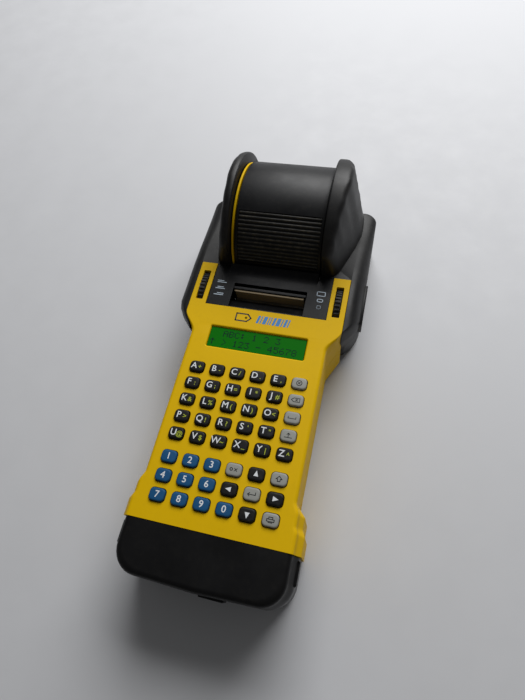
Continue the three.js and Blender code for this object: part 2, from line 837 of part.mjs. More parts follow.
function makeLetterKeys() {
  const under = GAP * 2;
  const right = keyX(COLUMNS - 2) + KEY_PITCH_X / 2 - under;
  const left = keyX(0) - KEY_PITCH_X / 2;
  const top = keyY(0) + KEY_PITCH_Y / 2;
  const lastTop = keyY(LETTER_ROWS - 1) + KEY_PITCH_Y / 2 - under;
  const bottom = keyY(LETTER_ROWS - 1) - KEY_PITCH_Y / 2;
  let body = join(
    block(left, right, bottom, top, WEB_Z, WEB_TOP_Z),
    block(left, -left, bottom, lastTop, WEB_Z, WEB_TOP_Z),
  );
  for (let row = 0; row < LETTER_ROWS; row++) {
    const count = row === LETTER_ROWS - 1 ? COLUMNS : COLUMNS - 1;
    for (let column = 0; column < count; column++) {
      body = body.add(keyCap(keyX(column), keyY(row)));
    }
  }
  return body;
}

function makeOwnKey(row, column) {
  const x = keyX(column);
  const y = keyY(row);
  const w = KEY_PITCH_X / 2 - GAP;
  const l = KEY_PITCH_Y / 2 - GAP;
  return join(keyCap(x, y), block(x - w, x + w, y - l, y + l, WEB_Z, WEB_TOP_Z));
}

// ---- thumbwheels --------------------------------------------------------------------------------

const WHEEL_Z = WHEEL_PROUD - WHEEL_RADIUS;

function makeWheel(side) {
  const points = [];
  for (let i = 0; i < WHEEL_RIDGES; i++) {
    for (const [share, radius] of [
      [0, WHEEL_RADIUS],
      [0.45, WHEEL_RADIUS],
      [0.55, WHEEL_RADIUS - 0.7],
      [0.9, WHEEL_RADIUS - 0.7],
    ]) {
      const angle = ((i + share) * 2 * Math.PI) / WHEEL_RIDGES;
      points.push([WHEEL_Y + radius * Math.cos(angle), WHEEL_Z + radius * Math.sin(angle)]);
    }
  }
  const x = side * WHEEL_X;
  const inner = side * (WHEEL_X - WHEEL_WIDTH / 2);
  const axleEnd = side * (PANEL_HALF - 3);
  return join(
    runX(polygon(points), x - WHEEL_WIDTH / 2, x + WHEEL_WIDTH / 2),
    rodX(2.5, Math.min(inner, axleEnd) - 0.01, Math.max(inner, axleEnd) + 0.01, WHEEL_Y, WHEEL_Z, 16),
  );
}

function makePowerSwitch() {
  const near = CHASSIS_HALF + 1;
  return block(near, PANEL_HALF - 3.4, WHEEL_Y - 7, WHEEL_Y + 7, WHEEL_Z - 7, WHEEL_Z + 6);
}

function makeModeSlider() {
  const near = -CHASSIS_HALF - 1;
  return block(-PANEL_HALF + 3.4, near, WHEEL_Y - 6, WHEEL_Y + 6, WHEEL_Z - 6, WHEEL_Z + 6);
}

// ---- printing mechanism ---------------------------------------------------------------------------

const IDLER_Z = PLATEN_Z - (GEAR_MODULE * (PLATEN_TEETH + IDLER_TEETH)) / 2;
const MOTOR_Z = IDLER_Z - (GEAR_MODULE * (IDLER_TEETH + PINION_TEETH)) / 2;
const GEAR_X = -CHASSIS_HALF - CHASSIS_SHEET - 0.6;
const CHASSIS_FLOOR_Z = BASE_Z + WALL + 0.6;

function makeChassis() {
  const inner = CHASSIS_HALF - CHASSIS_SHEET;
  const front = HEAD_PIVOT_Y - 5;
  const rear = DRUM_Y - POCKET_RADIUS - WALL - GAP;
  const sheet = block(
    -CHASSIS_HALF,
    CHASSIS_HALF,
    front,
    rear,
    CHASSIS_FLOOR_Z,
    -5,
  ).subtract(block(-inner, inner, front - 1, rear + 1, CHASSIS_FLOOR_Z + CHASSIS_SHEET, 5));
  return cut(
    sheet,
    rodX(1.8, -40, 40, PLATEN_Y, PLATEN_Z, 16),
    rodX(1.8, -40, 0, PLATEN_Y, MOTOR_Z, 16),
    rodX(1.8, -40, 40, HEAD_PIVOT_Y, HEAD_PIVOT_Z, 16),
  );
}

const HEAD_PIVOT_Y = 90;
const HEAD_PIVOT_Z = -26;
const PAPER_Y = PLATEN_Y - PLATEN_RADIUS - 0.7;
const PAPER_THICKNESS = 0.4;

function makePlatenRoller() {
  return join(
    rodX(PLATEN_RADIUS, -25, 25, PLATEN_Y, PLATEN_Z, 32),
    rodX(1.4, GEAR_X - GEAR_WIDTH, CHASSIS_HALF + 0.8, PLATEN_Y, PLATEN_Z, 16),
  );
}

function makePrintHead() {
  const face = PAPER_Y - PAPER_THICKNESS / 2 - 0.3;
  return join(
    block(-25, 25, face - 2.5, face, HEAD_PIVOT_Z - 2, PLATEN_Z + 2),
    block(-25, 25, face - 6, face - 2, PLATEN_Z - 12, PLATEN_Z - 1),
    block(-25, 25, HEAD_PIVOT_Y - 2.4, face - 1, HEAD_PIVOT_Z - 2.4, HEAD_PIVOT_Z + 2.4),
    rodX(1.4, -CHASSIS_HALF - 0.4, CHASSIS_HALF + 0.4, HEAD_PIVOT_Y, HEAD_PIVOT_Z, 16),
  );
}

function makeTearBar() {
  const front = PAPER_Y + PAPER_THICKNESS / 2 + GAP;
  const rear = front + 2;
  return join(
    block(-EXIT_HALF + GAP, EXIT_HALF - GAP, front, rear, -4, 0.2),
    block(-EXIT_HALF - 3, EXIT_HALF + 3, front, rear, -4.4, -2.8),
  );
}

// The printed label on its backing, standing in the exit.
function makeLabelStrip() {
  const half = LABEL_WIDTH / 2;
  const t = PAPER_THICKNESS / 2;
  return join(
    block(-half, half, PAPER_Y - t, PAPER_Y + t, HEAD_PIVOT_Z, -0.6),
    block(-half, half, PAPER_Y - 5 * t, PAPER_Y + t, -1.4, -0.6),
  );
}

function makeMotor() {
  const start = -CHASSIS_HALF + CHASSIS_SHEET + GAP;
  return rodX(MOTOR_RADIUS, start, start + MOTOR_LENGTH, PLATEN_Y, MOTOR_Z, 28);
}

// Gears stand in one plane outside the left chassis sheet, one above the other.
function makeGears() {
  const x0 = GEAR_X - GEAR_WIDTH;
  const shaft = 1.4;
  // Every gear has an even number of teeth, so a gap at the top means a gap at the bottom too.
  const idlerTurn = Math.PI / IDLER_TEETH;
  add(
    "platen_gear",
    gear(PLATEN_TEETH, x0, GEAR_X, PLATEN_Y, PLATEN_Z, shaft + 0.3, 0),
    "nylon",
  );
  add(
    "idler_gear",
    join(
      gear(IDLER_TEETH, x0, GEAR_X, PLATEN_Y, IDLER_Z, 0, idlerTurn),
      rodX(1.2, x0 - 0.8, GEAR_X + 0.4, PLATEN_Y, IDLER_Z, 12),
    ),
    "nylon",
  );
  add(
    "motor_pinion",
    join(
      gear(PINION_TEETH, x0, GEAR_X, PLATEN_Y, MOTOR_Z, 0, 0),
      rodX(1.4, GEAR_X - 0.5, -CHASSIS_HALF + CHASSIS_SHEET, PLATEN_Y, MOTOR_Z, 12),
    ),
    "steel",
  );
}

// ---- cartridge -----------------------------------------------------------------------------------

const flatCut = (z) => block(-200, 200, -200, 400, -200, z);

function makeCartridgeShell() {
  const inner = DRUM_RADIUS - SHELL_WALL;
  const outer = rodX(DRUM_RADIUS, SHELL_LEFT, SHELL_RIGHT, DRUM_Y, DRUM_Z, 64).subtract(
    flatCut(DRUM_FLAT_Z),
  );
  const room = rodX(inner, SHELL_LEFT - 1, SHELL_RIGHT + 1, DRUM_Y, DRUM_Z, 64).subtract(
    flatCut(DRUM_FLAT_Z + SHELL_WALL),
  );
  let body = outer.subtract(room);
  const pitch = (RIB_TO - RIB_FROM) / RIB_COUNT;
  for (let i = 0; i < RIB_COUNT; i++) {
    const groove = new THREE.BoxGeometry(SHELL_RIGHT - SHELL_LEFT - 3.4, 1.4, 1.1);
    groove.translate((SHELL_LEFT + SHELL_RIGHT) / 2, -DRUM_RADIUS, 0);
    groove.rotateX((-(RIB_FROM + (i + 0.5) * pitch) * Math.PI) / 180);
    groove.translate(0, DRUM_Y, DRUM_Z);
    body = body.subtract(solid(groove));
  }
  const slit = block(-EXIT_HALF, EXIT_HALF, DRUM_Y - 60, DRUM_Y - 20, LABEL_Z - 1.5, LABEL_Z + 1.5);
  return body.subtract(slit);
}

const PIN_REACH = 6;
const ROLL = {
  y: DRUM_Y + 0.19 * DRUM_RADIUS,
  z: DRUM_Z + 0.19 * DRUM_RADIUS,
  radius: 0.64 * DRUM_RADIUS,
  bore: 0.21 * DRUM_RADIUS,
};
const RIBBON_SUPPLY = {
  y: DRUM_Y - 0.33 * DRUM_RADIUS,
  z: DRUM_Z - 0.6 * DRUM_RADIUS,
  radius: 0.16 * DRUM_RADIUS,
  bore: 0.08 * DRUM_RADIUS,
};
const RIBBON_TAKEUP = {
  y: DRUM_Y - 0.71 * DRUM_RADIUS,
  z: DRUM_Z - 0.17 * DRUM_RADIUS,
  radius: 0.14 * DRUM_RADIUS,
  bore: 0.08 * DRUM_RADIUS,
};

// A disc that closes one side of the cartridge, with the pins that the rolls turn on. The left one
// stands outside the shell as a thin rim; the right one is let into it.
function makeSidePlate(side) {
  const radius = side < 0 ? SIDE_PLATE_RADIUS : DRUM_RADIUS - SHELL_WALL - GAP;
  const x0 = side < 0 ? SHELL_LEFT - 1 - SIDE_PLATE_WIDTH : SHELL_RIGHT - 1 - SIDE_PLATE_WIDTH;
  const x1 = x0 + SIDE_PLATE_WIDTH;
  const floor = side < 0 ? DRUM_FLAT_Z : DRUM_FLAT_Z + SHELL_WALL + GAP;
  let body = rodX(radius, x0, x1, DRUM_Y, DRUM_Z, 64).subtract(flatCut(floor));
  for (const { y, z, bore } of [ROLL, RIBBON_SUPPLY, RIBBON_TAKEUP]) {
    const from = side < 0 ? x0 + 0.5 : x0 - PIN_REACH;
    const to = side < 0 ? x1 + PIN_REACH : x1 - 0.5;
    body = body.add(rodX(bore - 0.3, from, to, y, z, 12));
  }
  return body;
}

function makeRoll({ y, z, radius, bore }) {
  const x0 = SHELL_LEFT + 1;
  const x1 = SHELL_RIGHT - 1 - SIDE_PLATE_WIDTH - 1;
  return rodX(radius, x0, x1, y, z, 28).subtract(rodX(bore, x0 - 1, x1 + 1, y, z, 16));
}

// ---- battery pack -----------------------------------------------------------------------------------

function packPlan(inset, widest = PACK_HALF) {
  const half = widest - inset;
  const end = PACK_END_Y + inset;
  const corner = PACK_CORNER - inset;
  const rounded = [];
  for (let i = 4; i >= 0; i--) {
    const angle = (i * Math.PI) / 8;
    rounded.push([
      half - corner + corner * Math.cos(angle),
      end + 1.6 + corner - corner * Math.sin(angle),
    ]);
  }
  return mirrored([[0, end], ...rounded, [half, SEAM_Y + 30]]);
}

const CELL_BLOCK_HALF = CELLS_ACROSS * CELL_RADIUS;
const CELL_BOTTOM_Z = CELL_TOP_Z - 2 * CELL_LAYERS * CELL_RADIUS;
const CELL_START_Y = PACK_END_Y + 4;
const CELL_END_Y = CELL_START_Y + CELL_LENGTH;

// Room for the cells, and the sleeve round them that slides into the handle.
const cellRoom = (spare, y0, y1) =>
  block(
    -CELL_BLOCK_HALF - spare,
    CELL_BLOCK_HALF + spare,
    y0,
    y1,
    CELL_BOTTOM_Z - spare,
    CELL_TOP_Z + spare,
  );

const LATCH_Y = -62;
const LATCH_LENGTH = 12;
const LATCH_HALF_HEIGHT = 5;
const LATCH_Z = -16;
const LATCH_DEPTH = 5;
const LATCH_PROUD = 0.9;
const LATCH_TRAVEL = 1.5;

const latchRoom = (side, spare) => {
  const outer = PACK_HALF + LATCH_PROUD + spare;
  const inner = PACK_HALF - LATCH_DEPTH - spare - (spare ? LATCH_TRAVEL : 0);
  return block(
    side > 0 ? inner : -outer,
    side > 0 ? outer : -inner,
    LATCH_Y - LATCH_LENGTH / 2 - spare,
    LATCH_Y + LATCH_LENGTH / 2 + spare,
    LATCH_Z - LATCH_HALF_HEIGHT - spare,
    LATCH_Z + LATCH_HALF_HEIGHT + spare,
  );
};

const JACK_X = 8;
const JACK_Z = -18;

function makeBatteryCase() {
  const cap = join(
    roundedSlab(packPlan(0, PACK_FACE_HALF), BASE_Z, -0.2, FACE_ROUND),
    roundedSlab(packPlan(0), BASE_Z, BULGE_TOP_Z, SIDE_ROUND),
  );
  const capRoom = join(
    slab(packPlan(WALL, PACK_FACE_HALF), BASE_Z + WALL, -0.2 - WALL),
    slab(packPlan(WALL), BASE_Z + WALL, BULGE_TOP_Z - SIDE_ROUND),
  );
  const front = SEAM_Y - GAP;
  const closed = block(-200, 200, front, 200, -200, 200);
  const sleeve = cellRoom(PACK_WALL + GAP, CELL_START_Y - PACK_WALL, CELL_END_Y + PACK_WALL);
  const jack = block(JACK_X - 7, JACK_X + 7, PACK_END_Y - 0.9, PACK_END_Y + 4, JACK_Z - 5, JACK_Z + 5);
  const latchHolders = [-1, 1].map((side) =>
    latchRoom(side, RUN + 1.4).intersect(slab(packPlan(0.5), BASE_Z, 0)),
  );
  return cut(
    join(cut(cap, capRoom), jack, ...latchHolders).subtract(closed).add(sleeve),
    cellRoom(GAP, CELL_START_Y, CELL_END_Y),
    cellRoom(GAP, SEAM_Y + 2, CELL_END_Y).translate([0, 0, 2 * CELL_RADIUS]),
    latchRoom(1, RUN),
    latchRoom(-1, RUN),
    block(JACK_X - 3, JACK_X + 3, PACK_END_Y - 5, PACK_END_Y + 3.4, JACK_Z - 3, JACK_Z + 3),
  );
}

function makeCells() {
  const start = CELL_START_Y + GAP;
  const end = CELL_END_Y - GAP;
  const wrapped = CELL_RADIUS - 0.1;
  let body = block(
    -CELL_BLOCK_HALF + CELL_RADIUS,
    CELL_BLOCK_HALF - CELL_RADIUS,
    start + 3,
    end - 3,
    CELL_BOTTOM_Z + CELL_RADIUS - 1,
    CELL_TOP_Z - CELL_RADIUS + 1,
  );
  for (let layer = 0; layer < CELL_LAYERS; layer++) {
    for (let i = 0; i < CELLS_ACROSS; i++) {
      const cell = new THREE.CylinderGeometry(wrapped, wrapped, end - start, 12);
      cell.translate(
        -CELL_BLOCK_HALF + (2 * i + 1) * CELL_RADIUS,
        (start + end) / 2,
        CELL_TOP_Z - (2 * layer + 1) * CELL_RADIUS,
      );
      body = body.add(solid(cell));
    }
  }
  return body;
}

// ---- put it together ---------------------------------------------------------------------------------

add("upper_case", makeUpperCase(), "yellow");
add("lower_case", makeLowerCase(), "yellow");
add("head_cover", makeHeadCover(), "black");
add("head_base", makeHeadBase(), "black");
add("legend_panel", makeLegendPanel(), "panelBlack");
add("lcd_lens", makeLcdLens(), "glass");
add("lcd_module", makeLcdModule(), "board");
add("main_board", makeBoard(), "board");
add("tear_bar", makeTearBar(), "black");
add("mechanism_chassis", makeChassis(), "steel");
add("stepper_motor", makeMotor(), "steel");
add("power_switch", makePowerSwitch(), "black");
add("case_screw_left", makeScrew(SCREW_TAIL, -1), "steel");
add("case_screw_right", makeScrew(SCREW_TAIL, 1), "steel");
add("head_screw_left", makeScrew(SCREW_HEAD, -1), "steel");
add("head_screw_right", makeScrew(SCREW_HEAD, 1), "steel");
add("foot_tail", makeFoot(FOOT_TAIL_Y), "rubber");
add("foot_head", makeFoot(FOOT_HEAD_Y), "rubber");
add("label_strip", makeLabelStrip(), "paper");
add("letter_keys", makeLetterKeys(), "keyBlack");
for (const [name, [row, column, look]] of Object.entries(OWN_KEYS)) {
  add(name, makeOwnKey(row, column), look);
}
add("mode_wheel", makeWheel(-1), "rubber");
add("power_wheel", makeWheel(1), "rubber");
add("platen_roller", makePlatenRoller(), "rubber");
makeGears();
add("print_head", makePrintHead(), "steel");
add(
  "head_release",
  block(
    HEAD_HALF - WALL - 1,
    HEAD_HALF + BUTTON_PROUD,
    BUTTON_Y - BUTTON_LENGTH / 2,
    BUTTON_Y + BUTTON_LENGTH / 2,
    BUTTON_Z - BUTTON_HEIGHT / 2,
    BUTTON_Z + BUTTON_HEIGHT / 2,
  ),
  "black",
);
add("cartridge_shell", makeCartridgeShell(), "black");
add("cartridge_side_left", makeSidePlate(-1), "yellow");
add("cartridge_side_right", makeSidePlate(1), "yellow");
add("label_roll", makeRoll(ROLL), "paper");
add("ribbon_supply", makeRoll(RIBBON_SUPPLY), "black");
add("ribbon_takeup", makeRoll(RIBBON_TAKEUP), "black");
add("battery_case", makeBatteryCase(), "black");
add("battery_cells", makeCells(), "steel");
add("battery_latch_left", latchRoom(-1, 0), "black");
add("battery_latch_right", latchRoom(1, 0), "black");

// ---- origin ------------------------------------------------------------------------------------------

// The origin goes under the middle of the object, on the surface that it stands on.
const bounds = new THREE.Box3().setFromObject(assembly);
const middle = bounds.getCenter(new THREE.Vector3());
for (const mesh of assembly.children) {
  mesh.geometry.translate(-middle.x, -middle.y, -bounds.min.z);
}

export default assembly;
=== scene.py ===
import json
import math

import bmesh
import bpy
import numpy as np
from bpy.props import FloatProperty, FloatVectorProperty, PointerProperty
from mathutils import Matrix, Vector


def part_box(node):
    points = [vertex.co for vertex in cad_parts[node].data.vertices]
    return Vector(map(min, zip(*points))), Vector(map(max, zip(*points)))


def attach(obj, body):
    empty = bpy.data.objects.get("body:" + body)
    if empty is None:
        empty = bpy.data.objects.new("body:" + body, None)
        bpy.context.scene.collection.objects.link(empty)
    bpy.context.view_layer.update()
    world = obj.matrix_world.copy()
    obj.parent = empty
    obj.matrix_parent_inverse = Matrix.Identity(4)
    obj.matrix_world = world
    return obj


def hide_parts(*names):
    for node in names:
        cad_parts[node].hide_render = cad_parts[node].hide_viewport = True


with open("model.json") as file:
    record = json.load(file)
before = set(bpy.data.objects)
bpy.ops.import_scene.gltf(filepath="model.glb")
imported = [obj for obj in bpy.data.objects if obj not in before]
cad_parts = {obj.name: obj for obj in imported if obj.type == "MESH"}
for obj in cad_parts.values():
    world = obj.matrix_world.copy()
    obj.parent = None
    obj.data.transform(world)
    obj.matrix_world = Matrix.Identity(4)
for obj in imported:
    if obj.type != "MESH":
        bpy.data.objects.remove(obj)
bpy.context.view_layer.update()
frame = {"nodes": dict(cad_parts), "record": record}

bl_info = {
    "name": "Hand-held label maker",
    "version": (1, 0, 0),
    "blender": (4, 5, 0),
    "location": "View3D > Sidebar > Label maker",
    "description": "Builds the finished look of a hand-held label maker round its packed CAD parts",
    "category": "Object",
}

# The pieces are drawn in millimetres about the middle of the keypad, z = 0 on the keypad face, and
# then put in the frame of the CAD parts.
CASE_LOW, CASE_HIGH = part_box("upper_case")
SEAM_Y = -54.0
ORIGIN = np.array([(CASE_LOW.x + CASE_HIGH.x) / 2, CASE_LOW.y - SEAM_Y / 1000, CASE_HIGH.z])


# ---- settings ----


def length(name, metres, description):
    """A setting that holds a length."""
    return FloatProperty(name=name, description=description, default=metres, unit="LENGTH")


def tone(text):
    """A colour written as an sRGB hex value, as linear red, green and blue."""
    parts = [int(text[i : i + 2], 16) / 255 for i in (1, 3, 5)]
    return tuple(p / 12.92 if p <= 0.04045 else ((p + 0.055) / 1.055) ** 2.4 for p in parts)


def colour(name, text, description):
    """A setting that holds a colour, given as an sRGB hex value."""
    return FloatVectorProperty(
        name=name, description=description, default=tone(text), subtype="COLOR", size=3, min=0, max=1
    )


class LabelMakerSettings(bpy.types.PropertyGroup):
    """Sizes and colours of the label maker."""

    handle_half: length("Handle half width", 0.0434, "From the middle to the side of the grip")
    step_half: length("First bulge", 0.0487, "Half width of the first step of the tail")
    tail_half: length("Tail half width", 0.0504, "Half width beside the battery joint")
    face_step_half: length("Face at first bulge", 0.0456, "Half width of the face there")
    face_tail_half: length("Face at tail", 0.0468, "Half width of the face at the tail")
    deck_half: length("Deck half width", 0.0507, "Half width of the yellow deck in the head")
    face_round: length("Face edge rounding", 0.0026, "Rounding along the face's long edges")
    wall: length("Wall", 0.0025, "Wall of the case mouldings")
    key_pitch_x: length("Key pitch across", 0.0127, "From one key to the next across the pad")
    key_pitch_y: length("Key pitch along", 0.0107, "From one row of keys to the next")
    key_width: length("Key width", 0.0088, "Width of one cap")
    key_length: length("Key length", 0.007, "Length of one cap")
    key_height: length("Key height", 0.0016, "How far a cap stands above the face")
    drum_radius: length("Drum radius", 0.042, "Outside of the label cartridge")
    flange_radius: length("Flange radius", 0.048, "Outside of the two round flanges")
    head_half: length("Head half width", 0.0605, "From the middle to the side wall of the head")
    yellow: colour("Case yellow", "#dfb400", "Yellow of the case mouldings")
    black: colour("Case black", "#161617", "Black of the head and the battery pack")
    panel: colour("Panel black", "#0c0d10", "Black of the legend panel")
    key_black: colour("Letter key", "#0e0e0f", "Black keys")
    key_blue: colour("Number key", "#124f7c", "Blue keys")
    key_grey: colour("Function key", "#92938d", "Grey keys")
    ink: colour("Legend ink", "#dfe3e6", "Print on the black and blue keys")
    lcd: colour("Display green", "#086a06", "Unlit ground of the display")
    lamp_power: FloatProperty(name="Key light", description="Watts of the key light", default=19.0)
    fill_power: FloatProperty(name="Sky", description="Strength of the world light", default=0.1)


def setting(name):
    """The value that a setting has now."""
    return getattr(bpy.context.scene.label_maker, name)


def mm(name):
    """A length setting in millimetres."""
    return setting(name) * 1000


# ---- meshes ----


def placed(points):
    """Millimetres about the keypad's middle as metres in the CAD frame."""
    return np.asarray(points, float) / 1000 + ORIGIN


def mesh_object(name, points, faces, material=None, smooth=32, in_place=True):
    """A closed mesh from points in millimetres, with doubles merged and normals outward."""
    mesh = bpy.data.meshes.new(name)
    co = placed(points) if in_place else np.asarray(points, float) / 1000
    mesh.from_pydata([tuple(p) for p in co], [], [tuple(f) for f in faces])
    obj = bpy.data.objects.new(name, mesh)
    bpy.context.scene.collection.objects.link(obj)
    clean(mesh)
    shade(mesh, smooth)
    if material:
        mesh.materials.append(material)
    return obj


def clean(mesh):
    """Merges doubled points and turns the faces outwards."""
    bm = bmesh.new()
    bm.from_mesh(mesh)
    bmesh.ops.remove_doubles(bm, verts=bm.verts, dist=2e-6)
    bmesh.ops.recalc_face_normals(bm, faces=bm.faces)
    bm.to_mesh(mesh)
    bm.free()


def shade(mesh, degrees):
    """Smooth shading, with edges sharper than the angle kept crisp."""
    mesh.shade_smooth()
    mesh.set_sharp_from_angle(angle=math.radians(degrees))


def settle(obj):
    """Replaces an object's mesh by what its modifiers make of it, and drops them."""
    bpy.context.view_layer.update()
    evaluated = obj.evaluated_get(bpy.context.evaluated_depsgraph_get())
    mesh = bpy.data.meshes.new_from_object(evaluated)
    obj.modifiers.clear()
    obj.data = mesh
    return obj


def discard(*objects):
    """Removes objects that were only needed to make another one."""
    for obj in objects:
        bpy.data.objects.remove(obj)


def soften(obj, width=0.25, segments=2, angle=38):
    """Rounds the sharp edges of a piece and keeps its large faces flat."""
    bevel = obj.modifiers.new("Edge rounding", "BEVEL")
    bevel.width = width / 1000
    bevel.segments = segments
    bevel.limit_method = "ANGLE"
    bevel.angle_limit = math.radians(angle)
    bevel.miter_outer = "MITER_ARC"
    weighted = obj.modifiers.new("Face weights", "WEIGHTED_NORMAL")
    weighted.keep_sharp = False
    weighted.weight = 100
    settle(obj)
    return obj


def cut_with(obj, cutter):
    """Takes the cutter's room out of an object. The cutter is used up."""
    tool = obj.modifiers.new("Cut", "BOOLEAN")
    tool.operation = "DIFFERENCE"
    tool.solver = "EXACT"
    tool.object = cutter
    settle(obj)
    discard(cutter)
    return obj


def joined(name, parts):
    """Several objects as one, keeping each one's materials."""
    bm = bmesh.new()
    materials = []
    for part in parts:
        mesh = part.data
        offset = []
        for material in mesh.materials:
            if material not in materials:
                materials.append(material)
            offset.append(materials.index(material))
        start = len(bm.faces)
        bm.from_mesh(mesh)
        bm.faces.ensure_lookup_table()
        for face in bm.faces[start:]:
            face.material_index = offset[face.material_index] if offset else 0
    mesh = bpy.data.meshes.new(name)
    bm.to_mesh(mesh)
    bm.free()
    for material in materials:
        mesh.materials.append(material)
    obj = bpy.data.objects.new(name, mesh)
    bpy.context.scene.collection.objects.link(obj)
    discard(*parts)
    return obj


def loft(rings, closed=True, caps=True):
    """Points and faces of a skin over rings of equal length."""
    count = len(rings[0])
    points = [p for ring in rings for p in ring]
    faces = []
    for r in range(len(rings) - 1):
        for i in range(count if closed else count - 1):
            j = (i + 1) % count
            a, b = r * count, (r + 1) * count
            faces.append((a + i, a + j, b + j, b + i))
    if caps:
        faces.append(tuple(range(count))[::-1])
        faces.append(tuple(range((len(rings) - 1) * count, len(rings) * count)))
    return points, faces


def block(name, low, high, material=None, in_place=True):
    """A box between two corners."""
    x0, y0, z0 = low
    x1, y1, z1 = high
    ring = [(x0, y0), (x1, y0), (x1, y1), (x0, y1)]
    rings = [[(x, y, z) for x, y in ring] for z in (z0, z1)]
    return mesh_object(name, *loft(rings), material, in_place=in_place)


def rounded_rectangle(width, length_, corner, steps=6):
    """Plan of a rectangle with rounded corners, about its middle, counter-clockwise."""
    points = []
    centres = [(1, 1, 0), (-1, 1, 90), (-1, -1, 180), (1, -1, 270)]
    for sx, sy, start in centres:
        cx, cy = sx * (width / 2 - corner), sy * (length_ / 2 - corner)
        for i in range(steps + 1):
            a = math.radians(start + 90 * i / steps)
            points.append((cx + corner * math.cos(a), cy + corner * math.sin(a)))
    return points


def smoothstep(a, b, x):
    """Eased share, 0 to 1, of the way from a to b."""
    t = min(1.0, max(0.0, (x - a) / (b - a)))
    return t * t * (3 - 2 * t)


def through(stops, y, eased=True):
    """Value at y between (place, value) stops, eased or straight."""
    if y <= stops[0][0]:
        return stops[0][1]
    for (y0, v0), (y1, v1) in zip(stops, stops[1:]):
        if y <= y1:
            t = (y - y0) / (y1 - y0)
            return v0 + (v1 - v0) * (smoothstep(0, 1, t) if eased else t)
    return stops[-1][1]


def strokes(lines, width, z=0.0, thick=0.03):
    """Print made of straight strokes with round-ish ends, as points and faces."""
    points, faces = [], []

    def put(ring):
        base, n = len(points), len(ring)
        points.extend((x, y, z) for x, y in ring)
        points.extend((x, y, z + thick) for x, y in ring)
        faces.append(tuple(range(base, base + n))[::-1])
        faces.append(tuple(range(base + n, base + 2 * n)))
        for i in range(n):
            j = (i + 1) % n
            faces.append((base + i, base + j, base + n + j, base + n + i))

    for line in lines:
        for (x0, y0), (x1, y1) in zip(line, line[1:]):
            a = math.atan2(y1 - y0, x1 - x0)
            ring = []
            for cx, cy, start in ((x1, y1, -90), (x0, y0, 90)):
                for i in range(5):
                    b = a + math.radians(start + 45 * i)
                    ring.append((cx + width / 2 * math.cos(b), cy + width / 2 * math.sin(b)))
            put(ring)
    return points, faces


def printed(name, text, size, thick=0.03):
    """Letters as a thin solid, centred, in millimetres about the origin."""
    curve = bpy.data.curves.new(name, "FONT")
    curve.body = text
    curve.size = size / 1000
    curve.align_x = "CENTER"
    curve.align_y = "CENTER"
    curve.offset = size * 0.012 / 1000
    curve.extrude = thick / 2000
    curve.resolution_u = 3
    obj = bpy.data.objects.new(name, curve)
    bpy.context.scene.collection.objects.link(obj)
    bpy.context.view_layer.update()
    mesh = bpy.data.meshes.new_from_object(obj.evaluated_get(bpy.context.evaluated_depsgraph_get()))
    discard(obj)
    made = bpy.data.objects.new(name, mesh)
    bpy.context.scene.collection.objects.link(made)
    return made


def shift(obj, x, y, z, in_place=True):
    """Moves a mesh's points by millimetres, into the CAD frame."""
    offset = placed((x, y, z)) if in_place else np.array((x, y, z)) / 1000
    obj.data.transform(Matrix.Translation(Vector(offset)))
    return obj


def paint(obj, material):
    """Gives an object one material."""
    obj.data.materials.clear()
    obj.data.materials.append(material)
    return obj


# ---- repeated pieces ----


def repeat_tree():
    """Node group that puts one piece on every point, turned and stretched as the points say."""
    name = "Repeat on points"
    if name in bpy.data.node_groups:
        return bpy.data.node_groups[name]
    tree = bpy.data.node_groups.new(name, "GeometryNodeTree")
    face = tree.interface
    face.new_socket(name="Points", in_out="INPUT", socket_type="NodeSocketGeometry")
    face.new_socket(name="Piece", in_out="INPUT", socket_type="NodeSocketObject")
    face.new_socket(name="Finish", in_out="INPUT", socket_type="NodeSocketMaterial")
    face.new_socket(name="Geometry", in_out="OUTPUT", socket_type="NodeSocketGeometry")
    source = tree.nodes.new("NodeGroupInput")
    piece = tree.nodes.new("GeometryNodeObjectInfo")
    turn = tree.nodes.new("GeometryNodeInputNamedAttribute")
    turn.data_type = "FLOAT_VECTOR"
    turn.inputs["Name"].default_value = "turn"
    size = tree.nodes.new("GeometryNodeInputNamedAttribute")
    size.data_type = "FLOAT_VECTOR"
    size.inputs["Name"].default_value = "stretch"
    copies = tree.nodes.new("GeometryNodeInstanceOnPoints")
    real = tree.nodes.new("GeometryNodeRealizeInstances")
    finish = tree.nodes.new("GeometryNodeSetMaterial")
    result = tree.nodes.new("NodeGroupOutput")
    link = tree.links.new
    link(source.outputs["Points"], copies.inputs["Points"])
    link(source.outputs["Piece"], piece.inputs["Object"])
    link(piece.outputs["Geometry"], copies.inputs["Instance"])
    link(turn.outputs["Attribute"], copies.inputs["Rotation"])
    link(size.outputs["Attribute"], copies.inputs["Scale"])
    link(copies.outputs["Instances"], real.inputs["Geometry"])
    link(real.outputs["Geometry"], finish.inputs["Geometry"])
    link(source.outputs["Finish"], finish.inputs["Material"])
    link(finish.outputs["Geometry"], result.inputs["Geometry"])
    return tree


